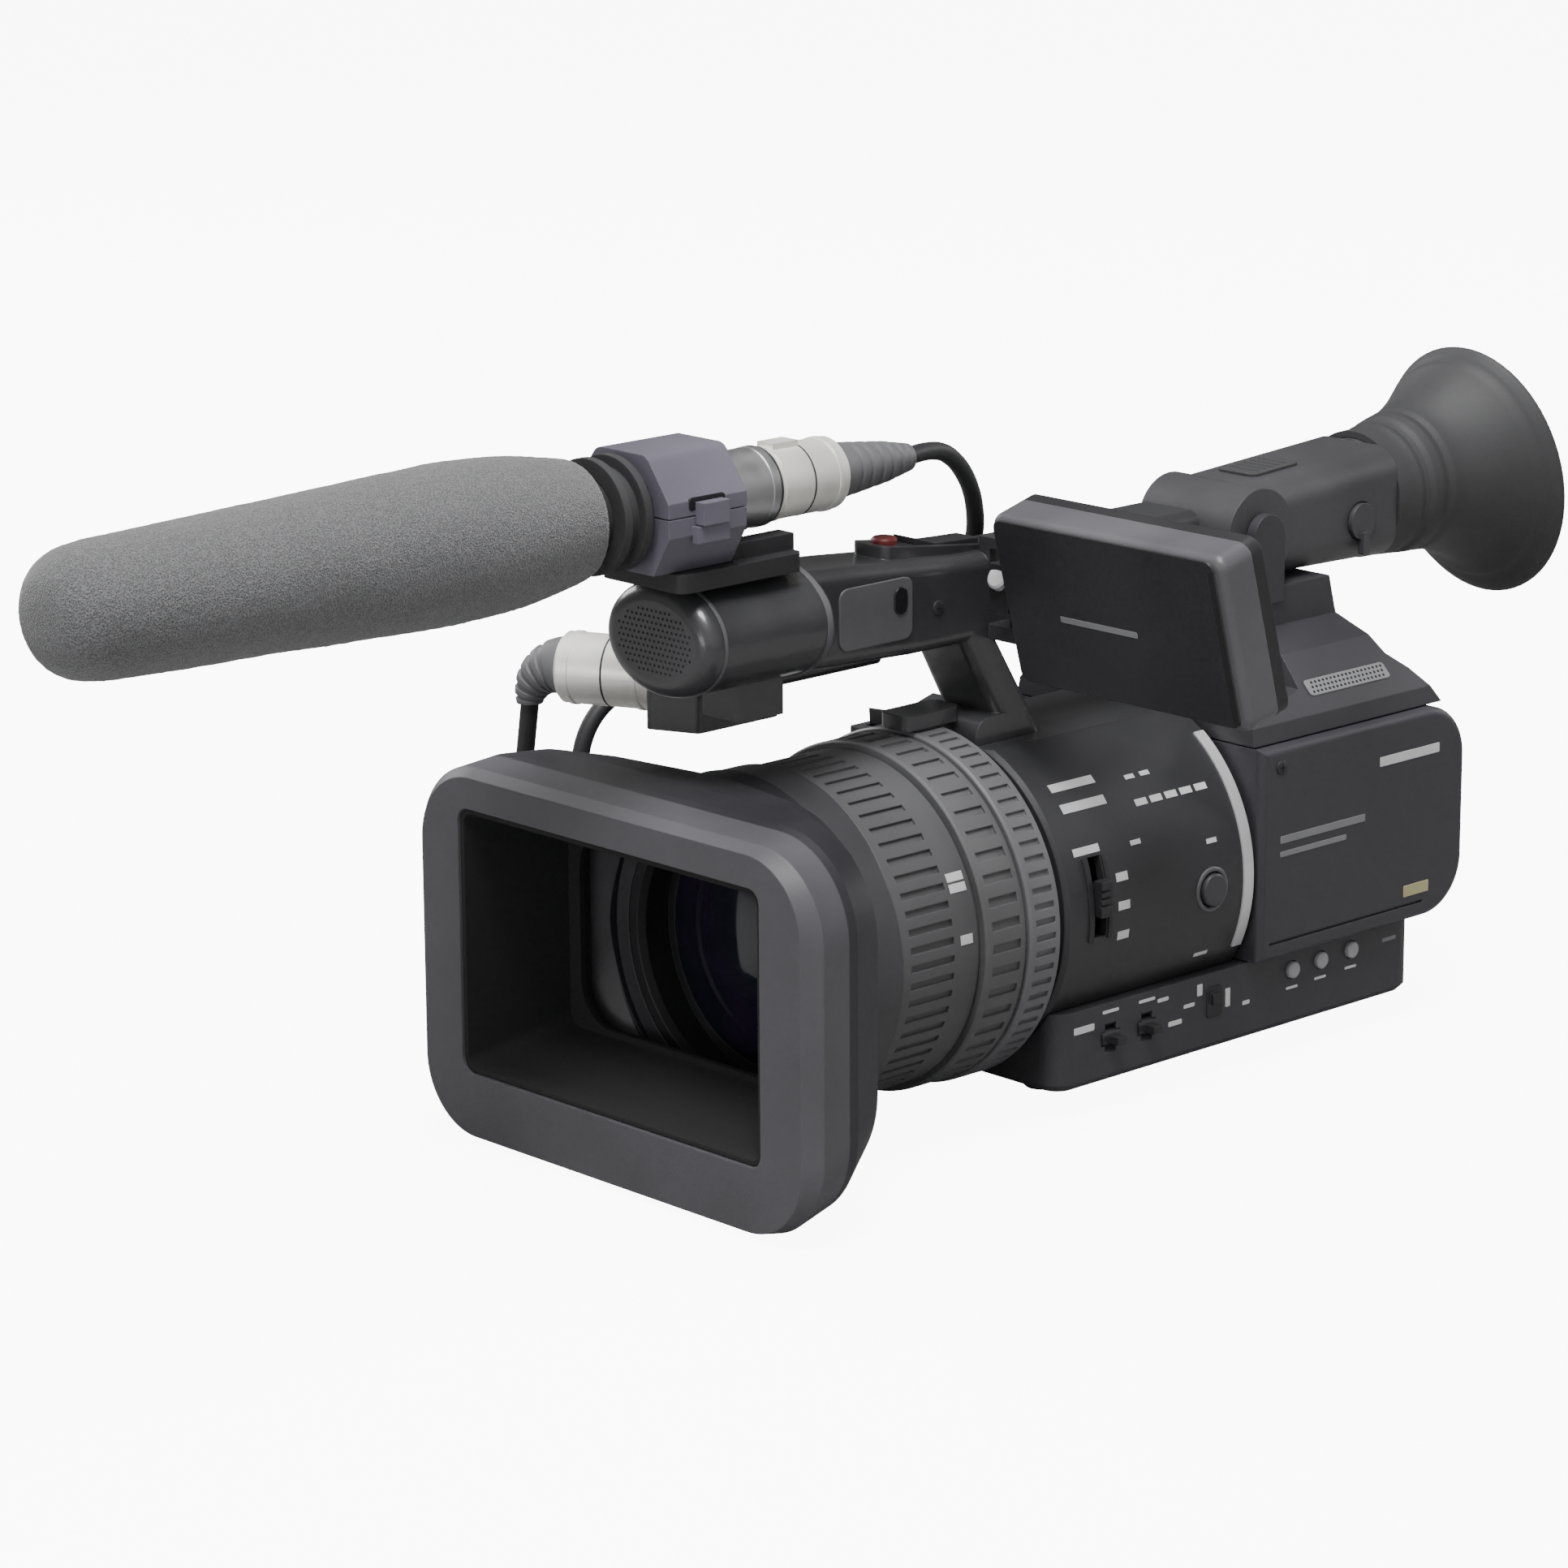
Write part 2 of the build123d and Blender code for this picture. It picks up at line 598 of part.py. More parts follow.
def handle_zoom_rocker():
    """A see-saw key whose round back turns on a shaft along X."""
    zx, (y0, y1) = zoom_handle["x"], zoom_handle["y"]
    middle = (y0 + y1) / 2
    profile = [(y0, swell_top(y0) - 2.4), (middle - 3, 153.0), (middle + 3, 152.6),
               (y1, swell_top(y1) - 2.2), (y1, swell_top(y1) + 1.6), (middle + 4, swell_top(middle) + 0.4),
               (middle - 4, swell_top(middle) + 0.8), (y0, swell_top(y0) + 1.8)]
    shaft = pin(2.4, (zx[0], middle, zoom_handle["z"]), (1, 0, 0), zx[1] - zx[0])
    return side_profile(profile, zx) + shaft


def handle_rec_button():
    y = rec_handle["y"]
    button = pin(rec_handle["r"], (0, y, 152.2), (0, 0, 1), swell_top(y) + 1.8 - 152.2)
    return chamfer(button.faces().sort_by(Axis.Z)[-1].edges(), 0.6)


parts["handle"] = handle()
parts["handle_zoom_rocker"] = handle_zoom_rocker()
parts["handle_rec_button"] = handle_rec_button()

# ---------------------------------------------------------------- audio inputs
turn = math.radians(input_turn)
out_1 = Vector(-math.sin(turn), -math.cos(turn), 0)     # the way socket 1 faces
mouth_1 = Vector(*input_mouth)
mouth_2 = Vector(*second_mouth)
out_2 = Vector(-1, 0, 0)
socket_r = 10.8
socket_bore = 9.9
socket_depth = 17.0


def input_block():
    """A low part under the pod for socket 1 and a taller part beside the bar for socket 2."""
    along = Vector(math.cos(turn), -math.sin(turn), 0)
    corner_a, corner_b = mouth_1 + along * 13, mouth_1 - along * 13
    plan = [(-14.0, -153.5), (corner_a.X, corner_a.Y), (corner_b.X, corner_b.Y), (-39.0, -124.0),
            (-14.0, -124.0)]
    low_part = plan_profile(plan, (112.5, 136.5))
    low_part = softened(low_part, low_part.edges().filter_by(Axis.Z), 2)
    tall_part = box((mouth_2.X, -handle_x - 0.05), (-136.6, -88.0), (121.0, 147.5))
    tall_part = softened(tall_part, tall_part.edges().filter_by(Axis.Y), 2)
    pod_room = extrude(across(pod_y[1] + 0.3, 0, pod_z) * Ellipse(pod_half[0] + 0.3, pod_half[1] + 0.3), 60)
    bore_1 = pin(socket_r + 0.1, mouth_1 - out_1 * (socket_depth + 1), out_1, 25)
    bore_2 = pin(socket_r + 0.1, mouth_2 - out_2 * (socket_depth + 1), out_2, 25)
    x, y = mouth_2.X, mouth_2.Y
    pocket = box((x + 0.7, x + 7.0), (y - 4.3, y + 4.3), (145.0, 149.0))
    return low_part + tall_part - pod_room - bore_1 - bore_2 - pocket


def socket(mouth, out):
    """An audio socket: a sleeve with a back wall and three contact pins."""
    start = mouth - out * (socket_depth + 0.9)
    sleeve = pin(socket_r, start, out, socket_depth + 1.9) - pin(socket_bore, start + out * 2.5, out, 30)
    plane = Plane(origin=start + out * 2.0, z_dir=out)
    for angle in (90, 210, 330):
        a = math.radians(angle)
        spot = plane.from_local_coords((4.2 * math.cos(a), 4.2 * math.sin(a), 0))
        sleeve = sleeve + pin(1.1, spot, out, 8)
    return sleeve


def jack_release():
    x, y = mouth_2.X, mouth_2.Y
    return box((x + 0.9, x + 6.6), (y - 4.0, y + 4.0), (145.9, 149.2))


def input_plug():
    """The plug in socket 1: its nose is inside the socket, its barrel outside."""
    nose = pin(9.6, mouth_1 - out_1 * 6.0, out_1, 7.6)
    barrel = pin(plug_r, mouth_1 + out_1 * 1.4, out_1, 27.0)
    barrel = chamfer(barrel.faces().sort_by(Axis(mouth_1, out_1))[-1].edges(), 0.8)
    return nose + barrel


boot_2_start = mouth_1 + out_1 * 28.5
boot_2_radius = 11.0


def tapered_tube(points_and_radii):
    """A lofted tube through circles, each given as (centre, direction, radius)."""
    return loft([Plane(origin=c, z_dir=d) * Circle(r) for c, d, r in points_and_radii])


def input_plug_boot():
    """The rubber strain relief, which droops a quarter turn under the cable's weight."""
    sections = []
    steps = 5
    for k in range(steps + 1):
        a = math.pi / 2 * k / steps
        sag = Vector(0, 0, -boot_2_radius * (1 - math.cos(a)))
        centre = boot_2_start + out_1 * (boot_2_radius * math.sin(a)) + sag
        direction = out_1 * math.cos(a) + Vector(0, 0, -math.sin(a))
        sections.append((centre, direction, 8.2 - 4.6 * k / steps))
    return tapered_tube(sections)


parts["input_block"] = input_block()
parts["input_jacks"] = Compound([socket(mouth_1, out_1), socket(mouth_2, out_2)])
parts["jack_release"] = jack_release()
parts["input_plug"] = input_plug()
parts["input_plug_boot"] = input_plug_boot()

# ---------------------------------------------------------------- microphone on its clamp
clamp_y = (-192.0, -165.2)
clamp_x = 18.0
clamp_bore = 12.4
clamp_top = 15.6             # over the microphone's axis
clamp_hinge = (-18.6, mic_z)
knuckles = (3.0, 9.0)        # the outer knuckles' ends, from each end of the clamp
latch_y = (-184.0, -173.0)
windscreen_y = (-373.0, -208.5)
mic_back = -145.0


def shoe_mount():
    """The plate that screws to the pod, with a cold shoe behind the clamp."""
    front, back = -186.0, -143.0
    plate = box((-16, 16), (front, back), (159.9, 164.9))
    plate = softened(plate, plate.edges().filter_by(Axis.Z), 3)
    rails = box((-12, 12), (clamp_y[1] + 0.6, back), (162.4, 169.4))
    slot = box((-9.3, 9.3), (clamp_y[1] + 1.6, back + 1), (162.4, 167.6))
    return plate + rails - slot - box((-6, 6), (clamp_y[1] + 1.6, back + 1), (162.4, 172))


def clamp_outline():
    z = mic_z
    return [(-clamp_x, z), (-clamp_x, z + 4), (-9.5, z + clamp_top), (9.5, z + clamp_top),
            (clamp_x, z + 4), (clamp_x, z)]


def mic_clamp_base():
    z = mic_z
    front, back = clamp_y
    shape = [(-clamp_x, z - 0.15), (-clamp_x, z - 5), (-12, 165.1), (12, 165.1), (clamp_x, z - 5),
             (clamp_x, z - 0.15)]
    body = front_profile(shape, clamp_y) - rod(clamp_bore, clamp_y, z)
    x, _ = clamp_hinge
    near, far = knuckles
    for y in ((front + near, front + far), (back - far, back - near)):
        body = body + rod(2.9, y, z, x) + box((x - 2.9, x + 3), y, (z - 6, z - 1))
    middle = box((x - 4, x + 3.4), (front + far, back - far), (z - 3.4, z + 4))
    body = body - middle + rod(1.4, (front + far - 2, back - far + 2), z, x)
    latch = box((clamp_x, clamp_x + 2.2), latch_y, (z - 7.0, z - 2.6))
    return body + latch - rod(clamp_bore, clamp_y, z)


def mic_clamp_lid():
    z = mic_z
    front, back = clamp_y
    body = front_profile(clamp_outline(), clamp_y)
    top_edges = body.edges().filter_by(Axis.Y).filter_by(lambda e: e.center().Z > z + 10)
    body = softened(body, top_edges, 4.0)
    body = body - box((-30, 30), (front - 1, back + 1), (z - 1, z + 0.15))
    x, _ = clamp_hinge
    near, far = knuckles
    for y in ((front + near - 0.3, front + far + 0.2), (back - far - 0.2, back - near + 0.3)):
        body = body - rod(3.3, y, z, x)
    middle = (front + far + 0.4, back - far - 0.4)
    body = body + rod(2.9, middle, z, x) + box((x, x + 3.2), middle, (z + 0.2, z + 4.5))
    body = body - rod(1.5, clamp_y, z, x)
    y = (latch_y[0] + 1, latch_y[1] - 1)
    tongue = box((clamp_x + 0.15, clamp_x + 3.4), y, (z - 2.3, z + 3.6))
    tongue = tongue + box((clamp_x - 1.5, clamp_x + 1), y, (z + 0.5, z + 3.6))
    return body + tongue - rod(clamp_bore, clamp_y, z)


def mic_clamp_rubber():
    """The elastic sleeve in the clamp, with two lips in front of it."""
    sleeve = ring(clamp_bore - 0.1, mic_r + 0.05, (-204.0, clamp_y[1] + 1.0), mic_z)
    lips = [rod(15.2, (y, y + 2.4), mic_z) for y in (-204.0, -197.0)]
    return sleeve + lips - rod(mic_r + 0.05, (-210, -140), mic_z)


def mic_tube():
    tube = ring(mic_r, 9.0, (-362.0, mic_back), mic_z)
    slots = [Pos(0, 0, mic_z) * Rot(0, 90 * k + 45, 0) * box((-1.2, 1.2), (y, y + 9), (8, 12))
             for k in range(4) for y in (-350, -334, -318, -302, -286, -270)]
    caps = rod(9.5, (-362.0, -359.5), mic_z) + rod(9.5, (mic_back - 3, mic_back), mic_z)
    return tube + caps - slots


def windscreen():
    """The foam sleeve: slim at its front, fullest near its back, then drawn in to the clamp."""
    front, back = windscreen_y
    bore = mic_r + 0.1
    with BuildLine() as outline:
        Polyline((0, front), (9, front))
        RadiusArc((9, front), (16.4, front + 7.5), -7.6)
        Spline((16.4, front + 7.5), (18.6, front + 70), (20.2, front + 118), (19.2, front + 142),
               (15.4, back))
        Polyline((15.4, back), (bore, back), (bore, -362.2), (0, -362.2), (0, front))
    return Pos(0, 0, mic_z) * revolve(make_face(outline.line), Axis.Y, 360)


def mic_plug():
    body = rod(plug_r, (mic_back + 0.1, -119.5), mic_z)
    body = chamfer(body.faces().sort_by(Axis.Y)[-1].edges(), 0.8)
    return body + box((-3, 3), (-142, -133), (mic_z + plug_r - 1, mic_z + plug_r + 1.2))


boot_1_end = -90.0


def mic_plug_boot():
    profile = [(0, -119.4), (7.9, -119.4), (6.9, -110), (5.6, -99), (3.8, boot_1_end), (0, boot_1_end)]
    return revolved(profile, mic_z)


parts["shoe_mount"] = shoe_mount()
parts["mic_clamp_base"] = mic_clamp_base()
parts["mic_clamp_lid"] = mic_clamp_lid()
parts["mic_clamp_rubber"] = mic_clamp_rubber()
parts["mic_tube"] = mic_tube()
parts["windscreen"] = windscreen()
parts["mic_plug"] = mic_plug()
parts["mic_plug_boot"] = mic_plug_boot()

# ---------------------------------------------------------------- microphone cable
boot_2_end = boot_2_start + out_1 * boot_2_radius + Vector(0, 0, -boot_2_radius)
cable_points = [
    (0, boot_1_end, mic_z), (-2, -77, 180.0), (-7, -63, 173), (-14, -51, 161), (-20, -45, 146),
    (-31, -44, 130), (-46, -53, 118.5), (-62, -68, 112.5), (-74, -87, 110.5), (-81, -107, 110),
    (-84.5, -123, 106), (-86, -132, 96), (-86.3, -133.6, 81.5), (-86, -133.1, 62),
    (-80.6, -148.9, 52.2), (-75.3, -164.7, 62), (-74.8, -165.1, 81.5), (-73, -163.9, 98.5),
    tuple(boot_2_end),
]


def cable_path():
    """Straight runs joined by arcs, each as large as its two runs allow."""
    points = [Vector(*p) for p in cable_points]
    radii = []
    for before, here, after in zip(points, points[1:], points[2:]):
        first, second = here - before, after - here
        half_turn = math.radians(first.get_angle(second)) / 2
        radii.append(0.45 * min(first.length, second.length) / math.tan(half_turn))
    return FilletPolyline(*points, radius=radii), radii


def mic_cable():
    path, radii = cable_path()
    start = Plane(origin=path @ 0, z_dir=path % 0)
    tube = sweep(start * Circle(cable_d / 2), path=path)
    runs = [(Vector(*b) - Vector(*a)).length for a, b in zip(cable_points, cable_points[1:])]
    expected = math.pi * (cable_d / 2) ** 2 * path.length
    print("cable runs", [round(r, 1) for r in runs])
    print("cable radii", [round(r, 1) for r in radii], "length", round(path.length, 1))
    print("cable volume", round(tube.volume, 1), "section times length", round(expected, 1))
    return tube


parts["mic_cable"] = mic_cable()


# ---------------------------------------------------------------- monitor
def leaning(shape):
    """Turns an upright piece of the monitor to its rest lean about the tilt shaft."""
    y, z = lcd_axis
    return Pos(0, y, z) * Rot(lcd_lean, 0, 0) * Pos(0, -y, -z) * shape


def monitor_box(inset, depth):
    """A box of the monitor's outline, inset on all four sides; depth runs back from the shaft."""
    y, z = lcd_axis
    length, height, _ = lcd_size
    x = (lcd_inner_x + inset, lcd_inner_x + length - inset)
    return box(x, (y + depth[0], y + depth[1]), (z - height / 2 + inset, z + height / 2 - inset))


def lcd_back():
    half = lcd_size[2] / 2
    shell = monitor_box(0, (-half, half - 4.0))
    shell = softened(shell, shell.edges().filter_by(Axis.Y), 4)
    front_rim = shell.faces().sort_by(Axis.Y)[0].outer_wire().edges()
    shell = softened(shell, front_rim, 2.5)
    shell = shell - monitor_box(2.0, (-half + 2.0, half))
    y, z = lcd_axis
    socket_block = box((lcd_inner_x, lcd_inner_x + 11), (y - half + 1.9, y + half - 4.2), (z - 6, z + 6))
    return leaning(shell + socket_block - pin(3.1, (lcd_inner_x - 1, y, z), (1, 0, 0), 10.0))


def lcd_bezel():
    half = lcd_size[2] / 2
    frame = monitor_box(0, (half - 3.9, half))
    frame = softened(frame, frame.edges().filter_by(Axis.Y), 4)
    y, z = lcd_axis
    window = box((lcd_inner_x + 8, lcd_inner_x + 78), (y, y + 20), (z - 20.0, z + 21.5))
    frame = frame - window
    posts = box((lcd_inner_x + 12, lcd_inner_x + 16), (y + 2.0, y + half - 3.9), (z - 23, z - 20.2))
    return leaning(frame + posts - pin(3.2, (lcd_inner_x - 1, y, z), (1, 0, 0), 10.2))


def lcd_screen():
    half = lcd_size[2] / 2
    y, z = lcd_axis
    panel = box((lcd_inner_x + 8.1, lcd_inner_x + 77.9), (y + half - 3.8, y + half - 0.8),
                (z - 19.9, z + 21.4))
    return leaning(panel)


def lcd_hinge():
    """The arm: a sleeve on the swing post, and the shaft that the monitor tilts on."""
    x, y = lcd_post
    sleeve = pin(5.4, (x, y, 133.9), (0, 0, 1), 20.2)
    arm = box((x - 1.0, x + 5.9), (lcd_axis[0] - 5.2, y), (140.0, 153.2))
    shaft = pin(3.0, (x + 2, *lcd_axis), (1, 0, 0), lcd_inner_x - x - 2 + 8.5)
    return sleeve + arm + shaft - pin(2.5, (x, y, 130), (0, 0, 1), 30)


parts["lcd_back"] = lcd_back()
parts["lcd_bezel"] = lcd_bezel()
parts["lcd_screen"] = lcd_screen()
parts["lcd_hinge"] = lcd_hinge()


# ---------------------------------------------------------------- viewfinder
def evf_body():
    """The tube: a round front on the pivot, a box that deepens to the back, a spigot for the eyecup."""
    y, z = evf_pivot
    half_x = evf_half_x
    radius = z - evf_outline[0][1]
    front = pin(radius, (-half_x, y, z), (1, 0, 0), 2 * half_x)
    outline = [rounded_section(y_at, half_x, low, high, 8.5) for y_at, low, high in evf_outline]
    middle = loft(outline, ruled=True)
    spigot = rod(16.5, (evf_outline[-1][0] - 1, evf_back), evf_axis_z)
    body = front + middle + spigot
    bore = rod(13.6, (48, evf_back + 1), evf_axis_z)
    chamber = box((-13, 13), (42, 60), (z - 10, z + 10))
    pivots = [pin(4.1, (x, y, z), (1, 0, 0), 8) for x in (-half_x - 1, half_x - 7)]
    pocket = pin(5.6, (half_x - 2.2, 76.0, z - 2), (1, 0, 0), 6)
    return body - bore - chamber - pivots - pocket


def evf_lens():
    glass = rod(13.5, (evf_back - 8, evf_back - 2), evf_axis_z)
    return glass & (Pos(0, evf_back - 2.2 - 40, evf_axis_z) * Sphere(40))


def cup_section(y, z, radius, lean):
    """An ellipse that leans forward at its top and is slimmer on the operator's right as it grows."""
    tilt = math.radians(lean)
    slim = 0.11 * radius * (radius - 16.0) / 22.0
    plane = Plane(origin=(slim, y, z), x_dir=(1, 0, 0), z_dir=(0, -math.cos(tilt), -math.sin(tilt)))
    return plane * Ellipse(radius - slim - 0.05, radius)


def eyecup():
    """The rubber cup: a sleeve on the spigot, a neck, and a flare to a rim that leans forward."""
    skin = 2.4
    outer = loft([cup_section(*row) for row in eyecup_sections])
    inner_rows = [(y, z, r - skin, lean) for y, z, r, lean in eyecup_sections]
    inner_rows[0] = (99.6, evf_axis_z, 16.0, 0)
    last_y, last_z, last_r, lean = inner_rows[-1]
    inner_rows[-1] = (last_y + 0.6, last_z, last_r + 0.3, lean)
    inner = loft([cup_section(*row) for row in inner_rows])
    sleeve = rod(18.7, (evf_outline[-1][0] + 0.3, evf_back + 1.5), evf_axis_z)
    return outer + sleeve - inner - rod(16.6, (90, evf_back + 0.3), evf_axis_z)


def diopter_lever():
    y, z = 76.0, evf_pivot[1] - 2
    disc = pin(5.3, (evf_half_x - 2.0, y, z), (1, 0, 0), 3.4)
    tab = box((evf_half_x + 0.4, evf_half_x + 2.6), (y - 1.2, y + 1.2), (z - 9.5, z - 3))
    return disc + tab


parts["evf_body"] = evf_body()
parts["evf_lens"] = evf_lens()
parts["eyecup"] = eyecup()
parts["diopter_lever"] = diopter_lever()

# ---------------------------------------------------------------- write one file per sub-part
os.makedirs("parts", exist_ok=True)
for name, shape in parts.items():
    export_step(shape, f"parts/{name}.step")
print(len(parts), "parts written")
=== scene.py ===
import math

import bpy
from mathutils import Matrix, Vector, noise


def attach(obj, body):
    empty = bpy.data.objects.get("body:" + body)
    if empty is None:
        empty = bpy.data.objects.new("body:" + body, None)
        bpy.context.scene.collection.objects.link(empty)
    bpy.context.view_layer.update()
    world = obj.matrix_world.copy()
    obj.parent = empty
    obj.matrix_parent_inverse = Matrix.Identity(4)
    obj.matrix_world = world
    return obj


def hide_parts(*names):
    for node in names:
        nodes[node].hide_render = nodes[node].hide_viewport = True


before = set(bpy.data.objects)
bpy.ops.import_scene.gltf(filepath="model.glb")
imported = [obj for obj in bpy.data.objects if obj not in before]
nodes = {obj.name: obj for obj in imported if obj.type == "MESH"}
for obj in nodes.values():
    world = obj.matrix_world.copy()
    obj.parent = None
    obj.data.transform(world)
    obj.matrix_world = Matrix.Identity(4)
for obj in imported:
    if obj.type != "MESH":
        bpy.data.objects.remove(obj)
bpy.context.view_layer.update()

scene = bpy.context.scene
MM = 0.001

WHITE = 9.0     # strength of the plain backdrop as the camera sees it

# Sizes and places in mm, as in the CAD. The lens looks along -Y, and the monitor is on the +X side.
AXIS_Z = 56.0
HOUSING_R = 47.5
RING_R = 46.6
MIC_Z = 180.5
EVF_Z = 144.6
POD_Z = 144.6
POD_HALF = (21, 15.5)
BASE_X = 44.0
SIDE_X = 49.0
HANDLE_X = 12.0
BACK_Y = 88
BATTERY_Y = 95
STRAP_Z = 59.0
MONITOR_AXIS = (-74.3, 146.6)
MONITOR_LEAN = 15
PLUG_MOUTH = Vector((-34, -148, 124.5))
PLUG_OUT = Vector((-0.9063, -0.4226, 0))
CABLE_D = 5.0
CABLE_POINTS = [
    (0, -90, 180.5), (-2, -78, 181.5), (-6.5, -64, 175), (-13, -51, 162.5), (-19, -44.5, 147),
    (-31, -44, 130), (-46, -53, 118.5), (-62, -68, 112.5), (-74, -87, 110.5), (-81, -107, 110),
    (-84.5, -123, 106), (-86, -132, 96), (-86.3, -133.6, 81.5), (-86, -132.6, 62),
    (-80.6, -148.9, 51.5), (-75.3, -165.2, 62), (-74.8, -165.1, 81.5), (-73, -163.9, 98.5),
    (-69.8, -164.69, 113.5),
]


# ---------------------------------------------------------------- camera, lights and floor
def make_camera():
    """Looks down a little at the object from in front of its left side."""
    azimuth = math.radians(46.88)
    elevation = math.radians(14.48)
    roll = math.radians(-0.34)
    target = Vector((-0.0703, -0.070, 0.0734))
    distance = 1.514
    back = Vector((math.sin(azimuth) * math.cos(elevation), -math.cos(azimuth) * math.cos(elevation),
                   math.sin(elevation)))
    right = Vector((math.cos(azimuth), math.sin(azimuth), 0))
    up = back.cross(right)
    turned_right = right * math.cos(roll) + up * math.sin(roll)
    turned_up = up * math.cos(roll) - right * math.sin(roll)
    data = bpy.data.cameras.new("camera")
    data.sensor_width = 36.0
    data.lens = 122.0
    data.clip_end = 20.0
    camera = bpy.data.objects.new("camera", data)
    scene.collection.objects.link(camera)
    rotation = Matrix((turned_right, turned_up, back)).transposed().to_4x4()
    camera.matrix_world = Matrix.Translation(target + back * distance) @ rotation
    scene.camera = camera


def make_light(name, place, aim, size, power):
    data = bpy.data.lights.new(name, "AREA")
    data.shape = "RECTANGLE"
    data.size, data.size_y = size
    data.energy = power
    light = bpy.data.objects.new(name, data)
    scene.collection.objects.link(light)
    light.location = place
    light.rotation_euler = (Vector(aim) - Vector(place)).to_track_quat("-Z", "Y").to_euler()


def floor_paint():
    """White to the camera, and dim to everything else so that it doesn't light the object from below."""
    paint = bpy.data.materials.new("floor_paint")
    paint.use_nodes = True
    tree = paint.node_tree
    white = tree.nodes["Principled BSDF"]
    white.inputs["Base Color"].default_value = (0.9, 0.9, 0.9, 1)
    white.inputs["Roughness"].default_value = 0.9
    white.inputs["Emission Color"].default_value = (1, 1, 1, 1)
    white.inputs["Emission Strength"].default_value = WHITE
    dim = tree.nodes.new("ShaderNodeBsdfDiffuse")
    dim.inputs["Color"].default_value = (0.3, 0.3, 0.3, 1)
    seen = tree.nodes.new("ShaderNodeLightPath")
    mix = tree.nodes.new("ShaderNodeMixShader")
    tree.links.new(seen.outputs["Is Camera Ray"], mix.inputs["Fac"])
    tree.links.new(dim.outputs["BSDF"], mix.inputs[1])
    tree.links.new(white.outputs["BSDF"], mix.inputs[2])
    tree.links.new(mix.outputs["Shader"], tree.nodes["Material Output"].inputs["Surface"])
    return paint


def make_world():
    """White to the camera. To everything else it is bright in front of the object and dim behind it."""
    world = bpy.data.worlds.new("world")
    world.use_nodes = True
    tree = world.node_tree
    soft = tree.nodes["Background"]
    soft.inputs["Color"].default_value = (1, 1, 1, 1)
    toward = tree.nodes.new("ShaderNodeVectorMath")
    toward.operation = "DOT_PRODUCT"
    toward.inputs[1].default_value = (0.70, -0.70, 0.12)
    fade = tree.nodes.new("ShaderNodeMapRange")
    for key, value in (("From Min", -0.1), ("From Max", 1.0), ("To Min", 0.12), ("To Max", 0.85)):
        fade.inputs[key].default_value = value
    tree.links.new(tree.nodes.new("ShaderNodeTexCoord").outputs["Generated"], toward.inputs[0])
    tree.links.new(toward.outputs["Value"], fade.inputs["Value"])
    tree.links.new(fade.outputs["Result"], soft.inputs["Strength"])
    white = tree.nodes.new("ShaderNodeBackground")
    white.inputs["Color"].default_value = (1, 1, 1, 1)
    white.inputs["Strength"].default_value = WHITE
    seen = tree.nodes.new("ShaderNodeLightPath")
    mix = tree.nodes.new("ShaderNodeMixShader")
    tree.links.new(seen.outputs["Is Camera Ray"], mix.inputs["Fac"])
    tree.links.new(soft.outputs["Background"], mix.inputs[1])
    tree.links.new(white.outputs["Background"], mix.inputs[2])
    tree.links.new(mix.outputs["Shader"], tree.nodes["World Output"].inputs["Surface"])
    return world


def make_stage():
    mesh = bpy.data.meshes.new("floor")
    half = 6.0
    corners = [(-half, -half, 0), (half, -half, 0), (half, half, 0), (-half, half, 0)]
    mesh.from_pydata(corners, [], [(0, 1, 2, 3)])
    floor = bpy.data.objects.new("floor", mesh)
    scene.collection.objects.link(floor)
    floor.location.z = -0.0005
    mesh.materials.append(floor_paint())
    scene.world = make_world()
    make_light("key", (0.5, -0.75, 1.75), (0, -0.05, 0.1), (0.6, 0.6), 34)
    make_light("top", (0.0, -0.1, 1.6), (0, -0.05, 0.1), (0.5, 0.5), 14)
    make_light("front", (0.1, -1.8, 0.25), (0, -0.1, 0.08), (0.8, 0.4), 4)
    make_light("right", (-1.7, -0.1, 0.8), (0, 0, 0.1), (0.8, 0.8), 14)
    make_light("back", (0.4, 1.8, 0.7), (0, 0, 0.1), (0.8, 0.6), 9)


make_camera()
make_stage()


